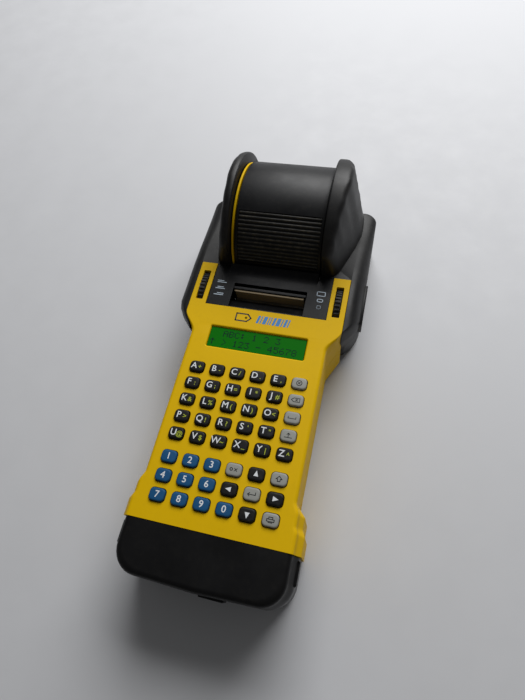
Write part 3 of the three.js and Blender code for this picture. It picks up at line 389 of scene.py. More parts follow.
def repeat(name, piece, places, material, turns=None, stretches=None, smooth=32):
    """One mesh of a piece repeated at places in millimetres. The piece itself is used up."""
    mesh = bpy.data.meshes.new(name)
    mesh.from_pydata([tuple(p) for p in placed(places)], [], [])
    for attribute, values, usual in (("turn", turns, (0, 0, 0)), ("stretch", stretches, (1, 1, 1))):
        layer = mesh.attributes.new(attribute, "FLOAT_VECTOR", "POINT")
        for i in range(len(places)):
            layer.data[i].vector = values[i] if values else usual
    obj = bpy.data.objects.new(name, mesh)
    bpy.context.scene.collection.objects.link(obj)
    tree = repeat_tree()
    nodes = obj.modifiers.new("Repeat", "NODES")
    nodes.node_group = tree
    sockets = {item.name: item.identifier for item in tree.interface.items_tree}
    nodes[sockets["Piece"]] = piece
    nodes[sockets["Finish"]] = material
    settle(obj)
    discard(piece)
    clean(obj.data)
    shade(obj.data, smooth)
    return obj


# ---- materials ----


def add(tree, kind, **values):
    """A new shader node with some of its settings and inputs filled in."""
    node = tree.nodes.new(kind)
    for key, value in values.items():
        if hasattr(node, key):
            setattr(node, key, value)
        else:
            node.inputs[key.replace("_", " ")].default_value = value
    return node


def moulded(name, base, roughness=0.5, grain=0.45, depth=0.012, mottle=0.06, dust=0.0,
            coat=0.0, metallic=0.0, dust_tone="#8f8877", scuff=0.12, specular=0.5):
    """A moulded or plated surface: fine texture, uneven gloss, slight unevenness of colour and dust.

    grain and depth are the texture's spacing and relief in millimetres.
    """
    material = bpy.data.materials.new(name)
    material.use_nodes = True
    tree = material.node_tree
    shader = tree.nodes["Principled BSDF"]
    shader.inputs["Metallic"].default_value = metallic
    shader.inputs["Coat Weight"].default_value = coat
    shader.inputs["Coat Roughness"].default_value = 0.12
    shader.inputs["Specular IOR Level"].default_value = specular
    link = tree.links.new
    where = add(tree, "ShaderNodeTexCoord")
    fine = add(tree, "ShaderNodeTexNoise", Scale=1000 / grain, Detail=2.0, Roughness=0.55)
    broad = add(tree, "ShaderNodeTexNoise", Scale=1000 / 28, Detail=4.0, Roughness=0.6)
    specks = add(tree, "ShaderNodeTexNoise", Scale=1000 / 3.2, Detail=3.0, Roughness=0.7)
    for texture in (fine, broad, specks):
        link(where.outputs["Object"], texture.inputs["Vector"])
    bump = add(tree, "ShaderNodeBump", Strength=0.55, Distance=depth / 1000)
    link(fine.outputs["Fac"], bump.inputs["Height"])
    link(bump.outputs["Normal"], shader.inputs["Normal"])
    shades = add(tree, "ShaderNodeMix", data_type="RGBA")
    shades.inputs["A"].default_value = (*[c * (1 - mottle) for c in base], 1)
    shades.inputs["B"].default_value = (*[min(1, c * (1 + mottle)) for c in base], 1)
    link(broad.outputs["Fac"], shades.inputs["Factor"])
    amount = add(tree, "ShaderNodeMapRange", clamp=True)
    amount.inputs["From Min"].default_value = 0.5
    amount.inputs["From Max"].default_value = 0.8
    amount.inputs["To Max"].default_value = dust
    link(specks.outputs["Fac"], amount.inputs["Value"])
    dusty = add(tree, "ShaderNodeMix", data_type="RGBA")
    dusty.inputs["B"].default_value = (*tone(dust_tone), 1)
    link(shades.outputs["Result"], dusty.inputs["A"])
    link(amount.outputs["Result"], dusty.inputs["Factor"])
    link(dusty.outputs["Result"], shader.inputs["Base Color"])
    gloss = add(tree, "ShaderNodeMapRange", clamp=True)
    gloss.inputs["From Min"].default_value = 0.3
    gloss.inputs["From Max"].default_value = 0.7
    gloss.inputs["To Min"].default_value = max(0.02, roughness - scuff)
    gloss.inputs["To Max"].default_value = min(1.0, roughness + scuff)
    link(broad.outputs["Fac"], gloss.inputs["Value"])
    link(gloss.outputs["Result"], shader.inputs["Roughness"])
    return material


MATERIALS = {}


def finish(name):
    """The material of that name, made when it is first asked for."""
    if name in MATERIALS:
        return MATERIALS[name]
    makers = {
        # Satin ABS with a fine spark-eroded skin: soft broad highlights, no mirror reflections.
        "Yellow ABS": lambda n: moulded(n, setting("yellow"), 0.55, 0.5, 0.008, 0.035, 0.06, 0.0,
                                        0.0, "#6e5a1c", 0.06, 0.12),
        # The same skin in black, where handling leaves greyer, duller patches and light dust.
        "Black ABS": lambda n: moulded(n, setting("black"), 0.5, 0.55, 0.014, 0.12, 0.08, 0.0,
                                       0.0, "#6f6a5c", 0.09, 0.3),
        # The cartridge's drum has a finer, shinier skin: long soft highlights along it.
        "Gloss ABS": lambda n: moulded(n, setting("panel"), 0.48, 0.8, 0.006, 0.15, 0.08, 0.0, 0.0,
                                       "#5f5a4c", 0.07, 0.3),
        # Ribs hold brown-grey dust that wiping doesn't reach; their base is lighter than the drum's black
        # also as painted highlight, for the light along the rib tops.
        "Dusty ABS": lambda n: moulded(n, tone("#262522"), 0.6, 0.8, 0.01, 0.3, 0.6, 0.0, 0.0,
                                       "#6e6756", 0.1),
        # The pack is polished by handling and is the darkest part: its black is made darker than the
        # case's as painted shade, for the shade that lies over the tail.
        "Pack ABS": lambda n: moulded(n, tone("#0d0d0e"), 0.42, 0.7, 0.01, 0.2, 0.05, 0.0, 0.0,
                                      "#4a463b", 0.1, 0.22),
        # Polycarbonate overlay: smoother and darker than the case, so it mirrors the room a little.
        "Polycarbonate overlay": lambda n: moulded(n, setting("panel"), 0.4, 0.8, 0.006, 0.1,
                                                   0.05, 0.0, 0.0, "#6b675c", 0.08, 0.16),
        # Lacquered silicone: rubbery, nearly matt, with a weak sheen on the crown of each key.
        "Black silicone": lambda n: moulded(n, setting("key_black"), 0.55, 0.4, 0.008, 0.1, 0.06,
                                            specular=0.25),
        "Blue silicone": lambda n: moulded(n, setting("key_blue"), 0.55, 0.4, 0.008, 0.05, 0.04,
                                           specular=0.25),
        "Grey silicone": lambda n: moulded(n, setting("key_grey"), 0.6, 0.4, 0.008, 0.04, 0.12),
        # Screen-printing ink: flat, slightly broken white.
        "White ink": lambda n: moulded(n, setting("ink"), 0.6, 0.3, 0.003, 0.05),
        "Lime ink": lambda n: moulded(n, tone("#a9b524"), 0.6, 0.3, 0.003, 0.05),
        "Dark ink": lambda n: moulded(n, tone("#1d1e20"), 0.6, 0.3, 0.003, 0.05),
        "Blue ink": lambda n: moulded(n, tone("#0f74b8"), 0.5, 0.3, 0.003, 0.05),
        "Pale ink": lambda n: moulded(n, tone("#b4c2cf"), 0.6, 0.3, 0.003, 0.05),
        # Liquid crystal over a reflector, behind glass: deep green with a hard clear surface.
        "Display glass": lambda n: moulded(n, setting("lcd"), 0.5, 2.0, 0.002, 0.12, 0.0, 0.0, 0.0,
                                           "#2a4a22", 0.05, 0.05),
        "Display segments": lambda n: moulded(n, tone("#04141f"), 0.6, 2.0, 0.002, 0.1, 0.0, 0.0, 0.0,
                                              "#04141f", 0.05, 0.1),
        # Rubber: matt, slightly grey where it is worn.
        "Black rubber": lambda n: moulded(n, tone("#1a1a1a"), 0.8, 0.3, 0.02, 0.15, 0.25),
        # Coated label stock: matt buff with a faint fibre.
        "Label stock": lambda n: moulded(n, tone("#85765c"), 0.75, 0.25, 0.01, 0.1, 0.1),
        # Ribbon film: thin glossy black polyester.
        "Ribbon film": lambda n: moulded(n, tone("#0c0c10"), 0.22, 1.0, 0.004, 0.2),
        # Acetal gears: creamy, slightly waxy.
        "White acetal": lambda n: moulded(n, tone("#dcd8c8"), 0.4, 1.0, 0.004, 0.05, 0.05),
        # Zinc-plated steel: metal with a soft directional scatter from the plating.
        "Zinc-plated steel": lambda n: moulded(n, tone("#a9aaa8"), 0.34, 0.6, 0.006, 0.12, 0.05,
                                               0.0, 1.0),
        # Cell wrap: printed PVC sleeve, quite glossy.
        "Cell wrap": lambda n: moulded(n, tone("#2d5e3a"), 0.3, 1.0, 0.004, 0.08),
        # Solder mask over copper: smooth green with a clear gloss.
        "Solder mask": lambda n: moulded(n, tone("#1c5a36"), 0.35, 1.2, 0.01, 0.2, 0.0, 0.4),
        # Painted table: very pale, with a faint unevenness.
        "Pale table": lambda n: moulded(n, tone("#cfd0d3"), 0.55, 3.0, 0.01, 0.025, 0.0, 0.0,
                                        0.0, "#8f8877", 0.1, 0.25),
    }
    MATERIALS[name] = makers[name](name)
    return MATERIALS[name]


# ---- CAD parts as they are ----


def dress(node, material_name):
    """Gives a CAD part its finish and leaves its shape as it is."""
    obj = frame["nodes"][node]
    obj.data.materials.clear()
    obj.data.materials.append(finish(material_name))
    for polygon in obj.data.polygons:
        polygon.material_index = 0


def refined(node, material_name, width=0.3, angle=34, name=None, smooth=34):
    """A copy of a CAD part with its edges rounded and its curves shaded round."""
    source = frame["nodes"][node]
    obj = bpy.data.objects.new(name or node + "_look", source.data.copy())
    bpy.context.scene.collection.objects.link(obj)
    mesh = obj.data
    bm = bmesh.new()
    bm.from_mesh(mesh)
    bmesh.ops.remove_doubles(bm, verts=bm.verts, dist=2e-6)
    bmesh.ops.dissolve_limit(
        bm, angle_limit=math.radians(0.8), verts=bm.verts, edges=bm.edges
    )
    bmesh.ops.recalc_face_normals(bm, faces=bm.faces)
    bm.to_mesh(mesh)
    bm.free()
    for key in list(mesh.attributes.keys()):
        if key == "custom_normal":
            mesh.attributes.remove(mesh.attributes[key])
    shade(mesh, smooth)
    paint(obj, finish(material_name))
    if width:
        soften(obj, width, 2, angle)
    return obj


def go_with(obj, node):
    """The object moves with a CAD part's body."""
    body = next(b for b, members in frame["record"]["behaviour"]["bodies"].items() if node in members)
    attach(obj, body)
    return obj


def stand_for(obj, node):
    """The object is shown in place of a CAD part and moves with it.
    """
    go_with(obj, node)
    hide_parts(node)
    return obj


# ---- case ----

NECK_Y = 61.0  # end of the straight handle
DECK_FRONT_Y = 76.5  # front and rear of the yellow deck in the head
DECK_REAR_Y = 114.8
PARTING_Z = -24.0  # where the upper and lower mouldings meet
COLUMNS = 6
ROWS = 8
LETTER_ROWS = 5
KEY_TOP_ROW_Y = 37.4
BLOCK_SPACE = 3.0  # extra space between the letter block and the number block
WHEEL_X = 45.0  # middle of each thumbwheel, left and right
WHEEL_Y = 96.9
WHEEL_Z = -12.6
WHEEL_RADIUS = 14.4
WHEEL_WIDTH = 3.8
WHEEL_SLOT_LENGTH = 22.8
WHEEL_RIDGES = 36
PANEL_HALF = 39.6  # black panel round the label exit
PANEL_FRONT_Y = 82.9
LCD_Y = 60.2  # window of the display
LCD_WIDTH = 62.0
LCD_LENGTH = 14.4
LCD_TOP_Z = -1.2
GAP = 0.3  # clearance between two mouldings that meet


def side_half(y):
    """Half width of the handle's side walls at y."""
    h, s, t, d = mm("handle_half"), mm("step_half"), mm("tail_half"), mm("deck_half")
    return through(
        [(-44.5, t), (-41, s), (-34.5, s), (-29, h), (NECK_Y, h), (DECK_FRONT_Y, d)], y, eased=False
    )


def face_half(y):
    """Half width of the face at y, which bulges less than the walls below it."""
    h, s, t, d = mm("handle_half"), mm("face_step_half"), mm("face_tail_half"), mm("deck_half")
    return through(
        [(-44.5, t), (-40.5, s), (-35, s), (-28.5, h), (NECK_Y, h), (DECK_FRONT_Y, d)], y
    )


def key_x(column):
    """Middle of a column of keys."""
    return (column - (COLUMNS - 1) / 2) * mm("key_pitch_x")


def key_y(row):
    """Middle of a row of keys. The number block sits a little apart from the letters."""
    return KEY_TOP_ROW_Y - row * mm("key_pitch_y") - (BLOCK_SPACE if row >= LETTER_ROWS else 0)


def stations(y0, y1):
    """Places along the handle, close together only where its outline changes."""
    ys = {y0, y1}
    for a, b, step in ((-46, -27, 0.75), (NECK_Y - 1, DECK_FRONT_Y + 1, 1.0)):
        ys.update(y for y in np.arange(a, b, step) if y0 < y < y1)
    ys.update(y for y in np.arange(-20, 56, 19) if y0 < y < y1)
    return sorted(ys)


def upper_ring(y):
    """Section of the upper case at y: an arch of even wall."""
    side, face, wall = side_half(y), face_half(y), mm("wall")
    edge = mm("face_round") * (1 - 0.85 * smoothstep(62, DECK_FRONT_Y, y))
    outer = [(side, PARTING_Z), (side, -9.5)]
    for i in range(1, 8):
        t = i / 8
        outer.append((side + (face - side) * smoothstep(0, 1, t), -9.5 + (9.5 - edge) * t))
    for i in range(6):
        a = math.radians(90 * i / 5)
        outer.append((face - edge + edge * math.cos(a), -edge + edge * math.sin(a)))
    inner = [(face - wall - 0.3, -wall), (side - wall, -9.0), (side - wall, PARTING_Z)]
    left = [(-x, z) for x, z in reversed(outer)]
    back = [(-x, z) for x, z in reversed(inner)] + inner
    return [(x, y, z) for x, z in outer + left + back]


def prism(name, outline, z0, z1):
    """An outline run straight up between two heights."""
    rings = [[(x, y, z) for x, y in outline] for z in (z0, z1)]
    return mesh_object(name, *loft(rings))


def key_holes():
    """Cutters for the holes that the keys come up through."""
    clearance = 0.45
    plan = rounded_rectangle(
        mm("key_width") + 2 * clearance, mm("key_length") + 2 * clearance, 2.4, 4
    )
    rings = [[(x, y, z) for x, y in plan] for z in (-6, 3)]
    cutter = mesh_object("key_hole", *loft(rings), in_place=False)
    places = [(key_x(c), key_y(r), 0) for r in range(ROWS) for c in range(COLUMNS)]
    return repeat("key_holes", cutter, places, None)


def wheel_slot(side):
    """Cutter for the slot of one thumbwheel."""
    clearance = 0.5
    plan = rounded_rectangle(WHEEL_WIDTH + 2 * clearance, WHEEL_SLOT_LENGTH, 0.5, 2)
    outline = [(x + side * WHEEL_X, y + WHEEL_Y) for x, y in plan]
    return prism("wheel_slot", outline, -8, 3)


def upper_case():
    """Yellow upper moulding: arch of the handle and deck, with its openings."""
    obj = mesh_object("upper_case_look", *loft([upper_ring(y) for y in stations(SEAM_Y, DECK_REAR_Y)]),
                      finish("Yellow ABS"))
    panel = [
        (-PANEL_HALF - 0.25, PANEL_FRONT_Y - 0.25),
        (PANEL_HALF + 0.25, PANEL_FRONT_Y - 0.25),
        (PANEL_HALF + 0.25, DECK_REAR_Y + 4),
        (-PANEL_HALF - 0.25, DECK_REAR_Y + 4),
    ]
    rings = []
    for spare, z in ((0, -8), (0, -1.0), (0.25, -0.55), (0.6, -0.2), (1.1, 0.02), (1.1, 3)):
        plan = rounded_rectangle(LCD_WIDTH + 2 * spare, LCD_LENGTH + 2 * spare, 0.7 + spare, 3)
        rings.append([(x, y + LCD_Y, z) for x, y in plan])
    cutters = [key_holes(), wheel_slot(1), wheel_slot(-1)]
    cutters.append(prism("panel_cut", panel, -8, 3))
    cutters.append(mesh_object("window_cut", *loft(rings)))
    cut_with(obj, joined("cuts", cutters))
    clean(obj.data)
    shade(obj.data, 32)
    soften(obj, 0.22, 2, 40)
    return stand_for(obj, "upper_case")


# ---- keys ----

CAP_TOP_INSET = 1.15


def cap_piece():
    """One key cap: straight skirt, rounded shoulder and an almost flat crown."""
    width, long, high = mm("key_width"), mm("key_length"), mm("key_height")
    steps = [(0, -4.0), (0, high - 0.75), (0.07, high - 0.45), (0.25, high - 0.2), (0.55, high - 0.05)]
    steps.append((CAP_TOP_INSET, high))
    rings = []
    for inset, z in steps:
        corner = max(0.5, 2.2 - inset * 0.9)
        plan = rounded_rectangle(width - 2 * inset, long - 2 * inset, corner, 5)
        rings.append([(x, y, z) for x, y in plan])
    return mesh_object("cap", *loft(rings), in_place=False)


def legend(lines, width, x, y, ink, scale=1.0):
    """A printed pictogram on the cap at x, y. Its lines are in millimetres about the cap's middle."""
    scaled = [[(px * scale, py * scale) for px, py in line] for line in lines]
    points, faces = strokes(scaled, width)
    obj = mesh_object("legend", points, faces, finish(ink), in_place=False)
    return shift(obj, x, y, mm("key_height") + 0.005)


def arc_line(radius, start, end, steps=10, cx=0.0, cy=0.0):
    """Points along an arc, for print."""
    angles = [math.radians(start + (end - start) * i / steps) for i in range(steps + 1)]
    return [(cx + radius * math.cos(a), cy + radius * math.sin(a)) for a in angles]


# Pictograms of the grey keys, about the middle of the cap, in millimetres.
PICTOGRAMS = {
    "key_clear": [arc_line(1.5, 0, 360, 16), [(-0.6, -0.6), (0.6, 0.6)], [(-0.6, 0.6), (0.6, -0.6)]],
    "key_delete": [[(-2.4, 0), (-1.1, 1.1), (2.2, 1.1), (2.2, -1.1), (-1.1, -1.1), (-2.4, 0)],
                   [(0, 0.5), (1, -0.5)], [(0, -0.5), (1, 0.5)]],
    "key_space": [[(-2.1, 0.4), (-2.1, -0.6), (2.1, -0.6), (2.1, 0.4)]],
    "key_feed": [[(-2, -1.1), (2, -1.1)], [(0, -0.7), (0, 1.2)], [(-0.8, 0.5), (0, 1.3), (0.8, 0.5)]],
    "key_symbol": [arc_line(0.7, 0, 360, 12, -1.3), [(0.4, 0.7), (1.8, -0.7)], [(0.4, -0.7), (1.8, 0.7)]],
    "key_shift": [[(0, 1.4), (-1.6, -0.1), (-0.7, -0.1), (-0.7, -1.3), (0.7, -1.3), (0.7, -0.1),
                   (1.6, -0.1), (0, 1.4)]],
    "key_enter": [[(2, 1), (2, -0.3), (-1.9, -0.3)], [(-1.1, 0.5), (-2, -0.3), (-1.1, -1.1)]],
    "key_print": [[(-1.9, 0.3), (1.9, 0.3), (1.9, -0.8), (-1.9, -0.8), (-1.9, 0.3)],
                  [(-1, 0.3), (-1, 1.3), (1, 1.3), (1, 0.3)], [(-1, -1.3), (1, -1.3)]],
}
ARROWS = {"key_up": 90, "key_left": 180, "key_right": 0, "key_down": 270}
OWN_KEYS = {
    "key_clear": (0, 5), "key_delete": (1, 5), "key_space": (2, 5), "key_feed": (3, 5),
    "key_1": (5, 0), "key_2": (5, 1), "key_3": (5, 2), "key_symbol": (5, 3), "key_up": (5, 4),
    "key_shift": (5, 5), "key_4": (6, 0), "key_5": (6, 1), "key_6": (6, 2), "key_left": (6, 3),
    "key_enter": (6, 4), "key_right": (6, 5), "key_7": (7, 0), "key_8": (7, 1), "key_9": (7, 2),
    "key_0": (7, 3), "key_down": (7, 4), "key_print": (7, 5),
}
SECOND_SIGNS = "+-/.,:;=*#&%()<>!?'\"@$~_|^"


def solid_arrow(turn):
    """A filled triangle that points along turn."""
    corners = []
    for radius, swing in ((2.0, 0), (1.75, 130), (1.75, 230)):
        a = math.radians(turn + swing)
        corners.append((radius * math.cos(a), radius * math.sin(a)))
    rings = [[(x, y, z) for x, y in corners] for z in (0, 0.03)]
    return mesh_object("arrow", *loft(rings), finish("White ink"), in_place=False)


def own_keys():
    """Number, arrow and function keys, each with its print."""
    for node, (row, column) in OWN_KEYS.items():
        x, y = key_x(column), key_y(row)
        top = mm("key_height") + 0.005
        digit = node[4:]
        if digit.isdigit():
            kind = "Blue silicone"
            mark = shift(paint(printed("digit", digit, 5.2), finish("White ink")), x, y, top + 0.015)
        elif node in ARROWS:
            kind = "Black silicone"
            mark = shift(solid_arrow(ARROWS[node]), x, y, top)
        else:
            kind = "Grey silicone"
            mark = legend(PICTOGRAMS[node], 0.42, x, y, "Dark ink", 1.05)
        cap = repeat("cap", cap_piece(), [(x, y, 0)], finish(kind))
        obj = joined(node + "_look", [cap, mark])
        stand_for(obj, node)


def letter_keys():
    """The letter keys on their shared mat, with a second, smaller sign on each."""
    places, letters, signs = [], [], []
    index = 0
    for row in range(LETTER_ROWS):
        for column in range(COLUMNS if row == LETTER_ROWS - 1 else COLUMNS - 1):
            x, y = key_x(column), key_y(row)
            places.append((x, y, 0))
            top = mm("key_height") + 0.02
            letter = printed("letter", chr(65 + index), 5.3)
            letters.append(shift(paint(letter, finish("White ink")), x - 1.6, y + 0.1, top))
            sign = printed("sign", SECOND_SIGNS[index], 4.0)
            signs.append(shift(paint(sign, finish("Lime ink")), x + 2.0, y - 0.3, top))
            index += 1
    caps = repeat("caps", cap_piece(), places, finish("Black silicone"))
    obj = joined("letter_keys_look", [caps, *letters, *signs])
    stand_for(obj, "letter_keys")


# ---- display ----

# Dot-matrix signs, five dots wide and seven high, one number per row from the top.
DOT_SIGNS = {
    "0": (14, 17, 19, 21, 25, 17, 14), "1": (4, 12, 4, 4, 4, 4, 14), "2": (14, 17, 1, 2, 4, 8, 31),
    "3": (31, 2, 4, 2, 1, 17, 14), "4": (2, 6, 10, 18, 31, 2, 2), "5": (31, 16, 30, 1, 1, 17, 14),
    "6": (6, 8, 16, 30, 17, 17, 14), "7": (31, 1, 2, 4, 8, 8, 8), "8": (14, 17, 17, 14, 17, 17, 14),
    "9": (14, 17, 17, 15, 1, 2, 12), "A": (14, 17, 17, 31, 17, 17, 17),
    "B": (30, 17, 17, 30, 17, 17, 30), "C": (14, 17, 16, 16, 16, 17, 14),
    ">": (8, 4, 2, 1, 2, 4, 8), "^": (4, 14, 21, 4, 4, 4, 4), ":": (0, 12, 12, 0, 12, 12, 0),
    "-": (0, 0, 0, 31, 0, 0, 0), " ": (0, 0, 0, 0, 0, 0, 0),
}
DOT_ROWS = ("  ABC: 1 2 3    ", "^ > 123 - 45678 ")


def display():
    """The green display behind its window, with two rows of dot-matrix signs."""
    half_width, half_length = LCD_WIDTH / 2 - GAP, LCD_LENGTH / 2 - GAP
    glass = block("glass", (-half_width, LCD_Y - half_length, -3.5),
                  (half_width, LCD_Y + half_length, LCD_TOP_Z), finish("Display glass"))
    dot, pitch = 0.56, 0.62
    sign_pitch, row_pitch = 3.75, 6.1
    places = []
    for line, text in enumerate(DOT_ROWS):
        for place, sign in enumerate(text):
            x0 = (place - 7.5) * sign_pitch - 2 * pitch
            y0 = LCD_Y + row_pitch / 2 - line * row_pitch + 3 * pitch
            for r, bits in enumerate(DOT_SIGNS[sign]):
                for c in range(5):
                    if bits & (16 >> c):
                        places.append((x0 + c * pitch, y0 - r * pitch, LCD_TOP_Z))
    square = block("dot", (-dot / 2, -dot / 2, 0), (dot / 2, dot / 2, 0.02), in_place=False)
    dots = repeat("dots", square, places, finish("Display segments"))
    obj = joined("lcd_lens_look", [glass, dots])
    stand_for(obj, "lcd_lens")


# ---- legend panel ----

MARK_Z = -0.495
LEFT_MARK_X, RIGHT_MARK_X = -33.2, 33.5


def legend_panel():
    """The black panel round the label exit, its tray and the ramp up to the cartridge."""
    obj = refined("legend_panel", "Polycarbonate overlay", 0.25, 30)
    marks = []

    def mark(lines, x, y, width=0.5):
        points, faces = strokes(lines, width)
        drawn = mesh_object("mark", points, faces, finish("Pale ink"), in_place=False)
        marks.append(shift(drawn, x, y, MARK_Z))

    def frame_line(half_width, half_height):
        w, h = half_width, half_height
        return [(-w, -h), (w, -h), (w, h), (-w, h), (-w, -h)]

    # three ways to line up the print, beside the left wheel
    for row, start in enumerate((-3, -2, -1)):
        mark([[(start, 0.6), (start + 4, 0.6)], [(-3, -0.6), (3, -0.6)]], LEFT_MARK_X,
             101.4 - row * 4.9, 0.55)
    # large print, small print and off, beside the right wheel
    mark([frame_line(2.6, 1.5)], RIGHT_MARK_X, 101.6)
    mark([frame_line(1.7, 1)], RIGHT_MARK_X, 96.6)
    mark([arc_line(1.3, 0, 360, 14)], RIGHT_MARK_X, 91.6)
    obj = joined("legend_panel_look", [obj, *marks])
    stand_for(obj, "legend_panel")


def tag_mark():
    """A plain printed tag and bars between the display and the panel."""
    z = 0.005
    tag = [[(-17, 73.6), (-17, 78.8), (-9.6, 78.8), (-7.2, 76.2), (-9.6, 73.6), (-17, 73.6)]]
    points, faces = strokes(tag, 0.9, z)
    parts = [mesh_object("tag", points, faces, finish("Dark ink"))]
    hole = [arc_line(0.55, 0, 360, 12, -10.4, 76.2)]
    points, faces = strokes(hole, 0.5, z)
    parts.append(mesh_object("tag_hole", points, faces, finish("Dark ink")))
    x, lean = -3.6, 1.1
    # width of each bar and the space after it
    for width, space in ((1.5, 0.9), (0.7, 0.9), (2.3, 0.9), (0.7, 0.7), (0.7, 1.0), (1.6, 0.8),
                         (2.4, 0.8), (0.8, 0.9), (1.6, 0.8), (0.8, 0)):
        ring = [(x, 73.4), (x + width, 73.4), (x + width + lean, 79), (x + lean, 79)]
        rings = [[(px, py, h) for px, py in ring] for h in (z, z + 0.03)]
        parts.append(mesh_object("bar", *loft(rings), finish("Blue ink")))
        x += width + space
    go_with(joined("tag_mark", parts), "upper_case")


# ---- wheels ----


def wheels():
    """Thumbwheels with straight ridges."""
    radius, width = WHEEL_RADIUS, WHEEL_WIDTH
    for node, side in (("mode_wheel", -1), ("power_wheel", 1)):
        x, y, z = side * WHEEL_X, WHEEL_Y, WHEEL_Z
        rings = []
        for offset, r in ((-width / 2, radius - 0.5), (-width / 2 + 0.4, radius),
                          (width / 2 - 0.4, radius), (width / 2, radius - 0.5)):
            ring = [(x + offset, y + r * math.cos(a), z + r * math.sin(a))
                    for a in np.linspace(0, 2 * math.pi, 72, endpoint=False)]
            rings.append(ring)
        disc = mesh_object("disc", *loft(rings), finish("Black rubber"))
        inner, end = side * (WHEEL_X - width / 2), side * 36.8
        hub_rings = [[(hx, y + 2.5 * math.cos(a), z + 2.5 * math.sin(a))
                      for a in np.linspace(0, 2 * math.pi, 20, endpoint=False)] for hx in (inner, end)]
        hub = mesh_object("hub", *loft(hub_rings), finish("Black ABS"))
        plan = rounded_rectangle(1.15, 1.1, 0.4, 3)
        rings = [[(px, a, b) for a, b in plan] for px in (-width / 2 + 0.25, width / 2 - 0.25)]
        ridge = mesh_object("ridge", *loft(rings), in_place=False)
        places, turns = [], []
        for i in range(WHEEL_RIDGES):
            a = 2 * math.pi * (i + 0.5) / WHEEL_RIDGES
            places.append((x, y + (radius + 0.05) * math.cos(a), z + (radius + 0.05) * math.sin(a)))
            turns.append((a, 0, 0))
        ridge_set = repeat("ridges", ridge, places, finish("Black rubber"), turns)
        stand_for(joined(node + "_look", [disc, hub, ridge_set]), node)


# ---- head ----

DRUM_Y = 157.4  # axis of the cartridge
DRUM_Z = -6.2
SHELL_LEFT = -27.4
SHELL_RIGHT = 30.0
POCKET_HALF = 30.7  # room that the cartridge sits in
POCKET_RADIUS = 42.6
DRUM_FLAT_Z = -45.4  # flat underside of the cartridge
DECK_Z = -0.6  # height of the head's deck
SHOULDER_DROP = 13.0  # fall of the shoulders from the deck to the side walls
# Front corners of the head as y, x: the left one reaches further round the neck.
LEFT_NOSE = ((63.8, 43.7), (66.8, 47.4), (70.8, 51.4), (75.9, 55.9), (81.0, 59.0), (87.0, 60.5))
RIGHT_NOSE = ((75.0, 51.0), (77.4, 53.2), (80.2, 55.6), (83.6, 57.9), (87.6, 59.6), (92.0, 60.5))
NOSE_LEAN = 0.25  # how much the front leans back for each millimetre down
REAR_FALL = 9.0  # fall of the shoulders' top towards the rear
HEAD_REAR_Y = 181.0
HEAD_CORNER = 6.0
BASE_Z = -49.0  # underside of the mouldings
FLANGE_FRONT_Y = 116.0
FLANGE_DRAFT = 0.21  # how much the flanges' outer faces lean in for each millimetre up
FLANGE_NECK = 40.2
# Outer face of the right flange as y, x. The left one swells half as much.
FLANGE_PLAN = ((116, 40.2), (124, 43.2), (133, 46.0), (146, 48.8), (160, 51.0), (170, 50.8), (180, 48.4),
               (190, 45.0), (205.4, 39.0))
RELEASE_Y, RELEASE_Z = 105.0, -17.0  # middle of the side release
HEAD_SCREW_X, HEAD_SCREW_Y, HEAD_SCREW_HOLE = 46, 168, 3.3  # place and radius of the screw holes
REAR_WALL_Z = 9.0  # top of the wall behind the cartridge
RIB_FROM, RIB_TO, RIBS = 14.0, 61.0, 13  # degrees above level, and how many ribs


def head_plan(inset, rear_inset, z):
    """Outline of the head at z, counter-clockwise, drawn in by inset towards the yellow neck.

    Below the shoulders the nose leans back.
    """
    lean = max(0.0, DECK_Z - SHOULDER_DROP - z) * NOSE_LEAN
    half = mm("head_half") - inset
    rear = HEAD_REAR_Y - rear_inset
    corner = max(1.2, HEAD_CORNER - 0.5 * inset)
    handle, deck = mm("handle_half") + GAP, mm("deck_half") + GAP
    share = inset / (mm("head_half") - deck)
    sides = []
    for nose, (neck_x, neck_y) in ((RIGHT_NOSE, (deck, DECK_FRONT_Y)), (LEFT_NOSE, (handle, NECK_Y))):
        outline = []
        for i, (y, x) in enumerate(nose):
            t = i / (len(nose) - 1)
            inner_x, inner_y = neck_x + (deck - neck_x) * t, neck_y + (DECK_FRONT_Y - neck_y) * t
            outline.append((x + (inner_x - x) * share, y + (inner_y - y) * share + lean))
        outline += [(half, y) for y in (DECK_REAR_Y, 131.0, 147.0, 163.0)]
        for i in range(9):
            a = math.radians(90 * i / 8)
            outline.append((half - corner + corner * math.cos(a), rear - corner + corner * math.sin(a)))
        sides.append(outline)
    return sides[0] + [(-x, y) for x, y in reversed(sides[1])]


def shoulders():
    """Upper head moulding: flat deck with shoulders that fall to the side walls."""
    reach = mm("head_half") - mm("deck_half") - GAP
    levels = [(0, 0, PARTING_Z), (0, 0, DECK_Z - SHOULDER_DROP)]
    for i in range(1, 11):
        a = math.radians(9 * i)
        levels.append((reach * (1 - math.cos(a)), 1.6 * (1 - math.cos(a)) ** 2,
                       DECK_Z - SHOULDER_DROP * (1 - math.sin(a))))
    rings = []
    for inset, rear, z in levels:
        share = max(0.0, (z - DECK_Z) / SHOULDER_DROP + 1)
        rings.append([(x, y, z - REAR_FALL * share * smoothstep(DECK_REAR_Y, HEAD_REAR_Y, y))
                      for x, y in head_plan(inset, rear, z)])
    points, faces = loft(rings)
    count = len(rings[0])
    top = (len(rings) - 1) * count
    faces = faces[:-1] + [(top + i, top + i + 1, top + count - 2 - i, top + count - 1 - i)
                          for i in range(count // 2 - 1)]
    return mesh_object("shoulders", points, faces, finish("Black ABS"), smooth=40)


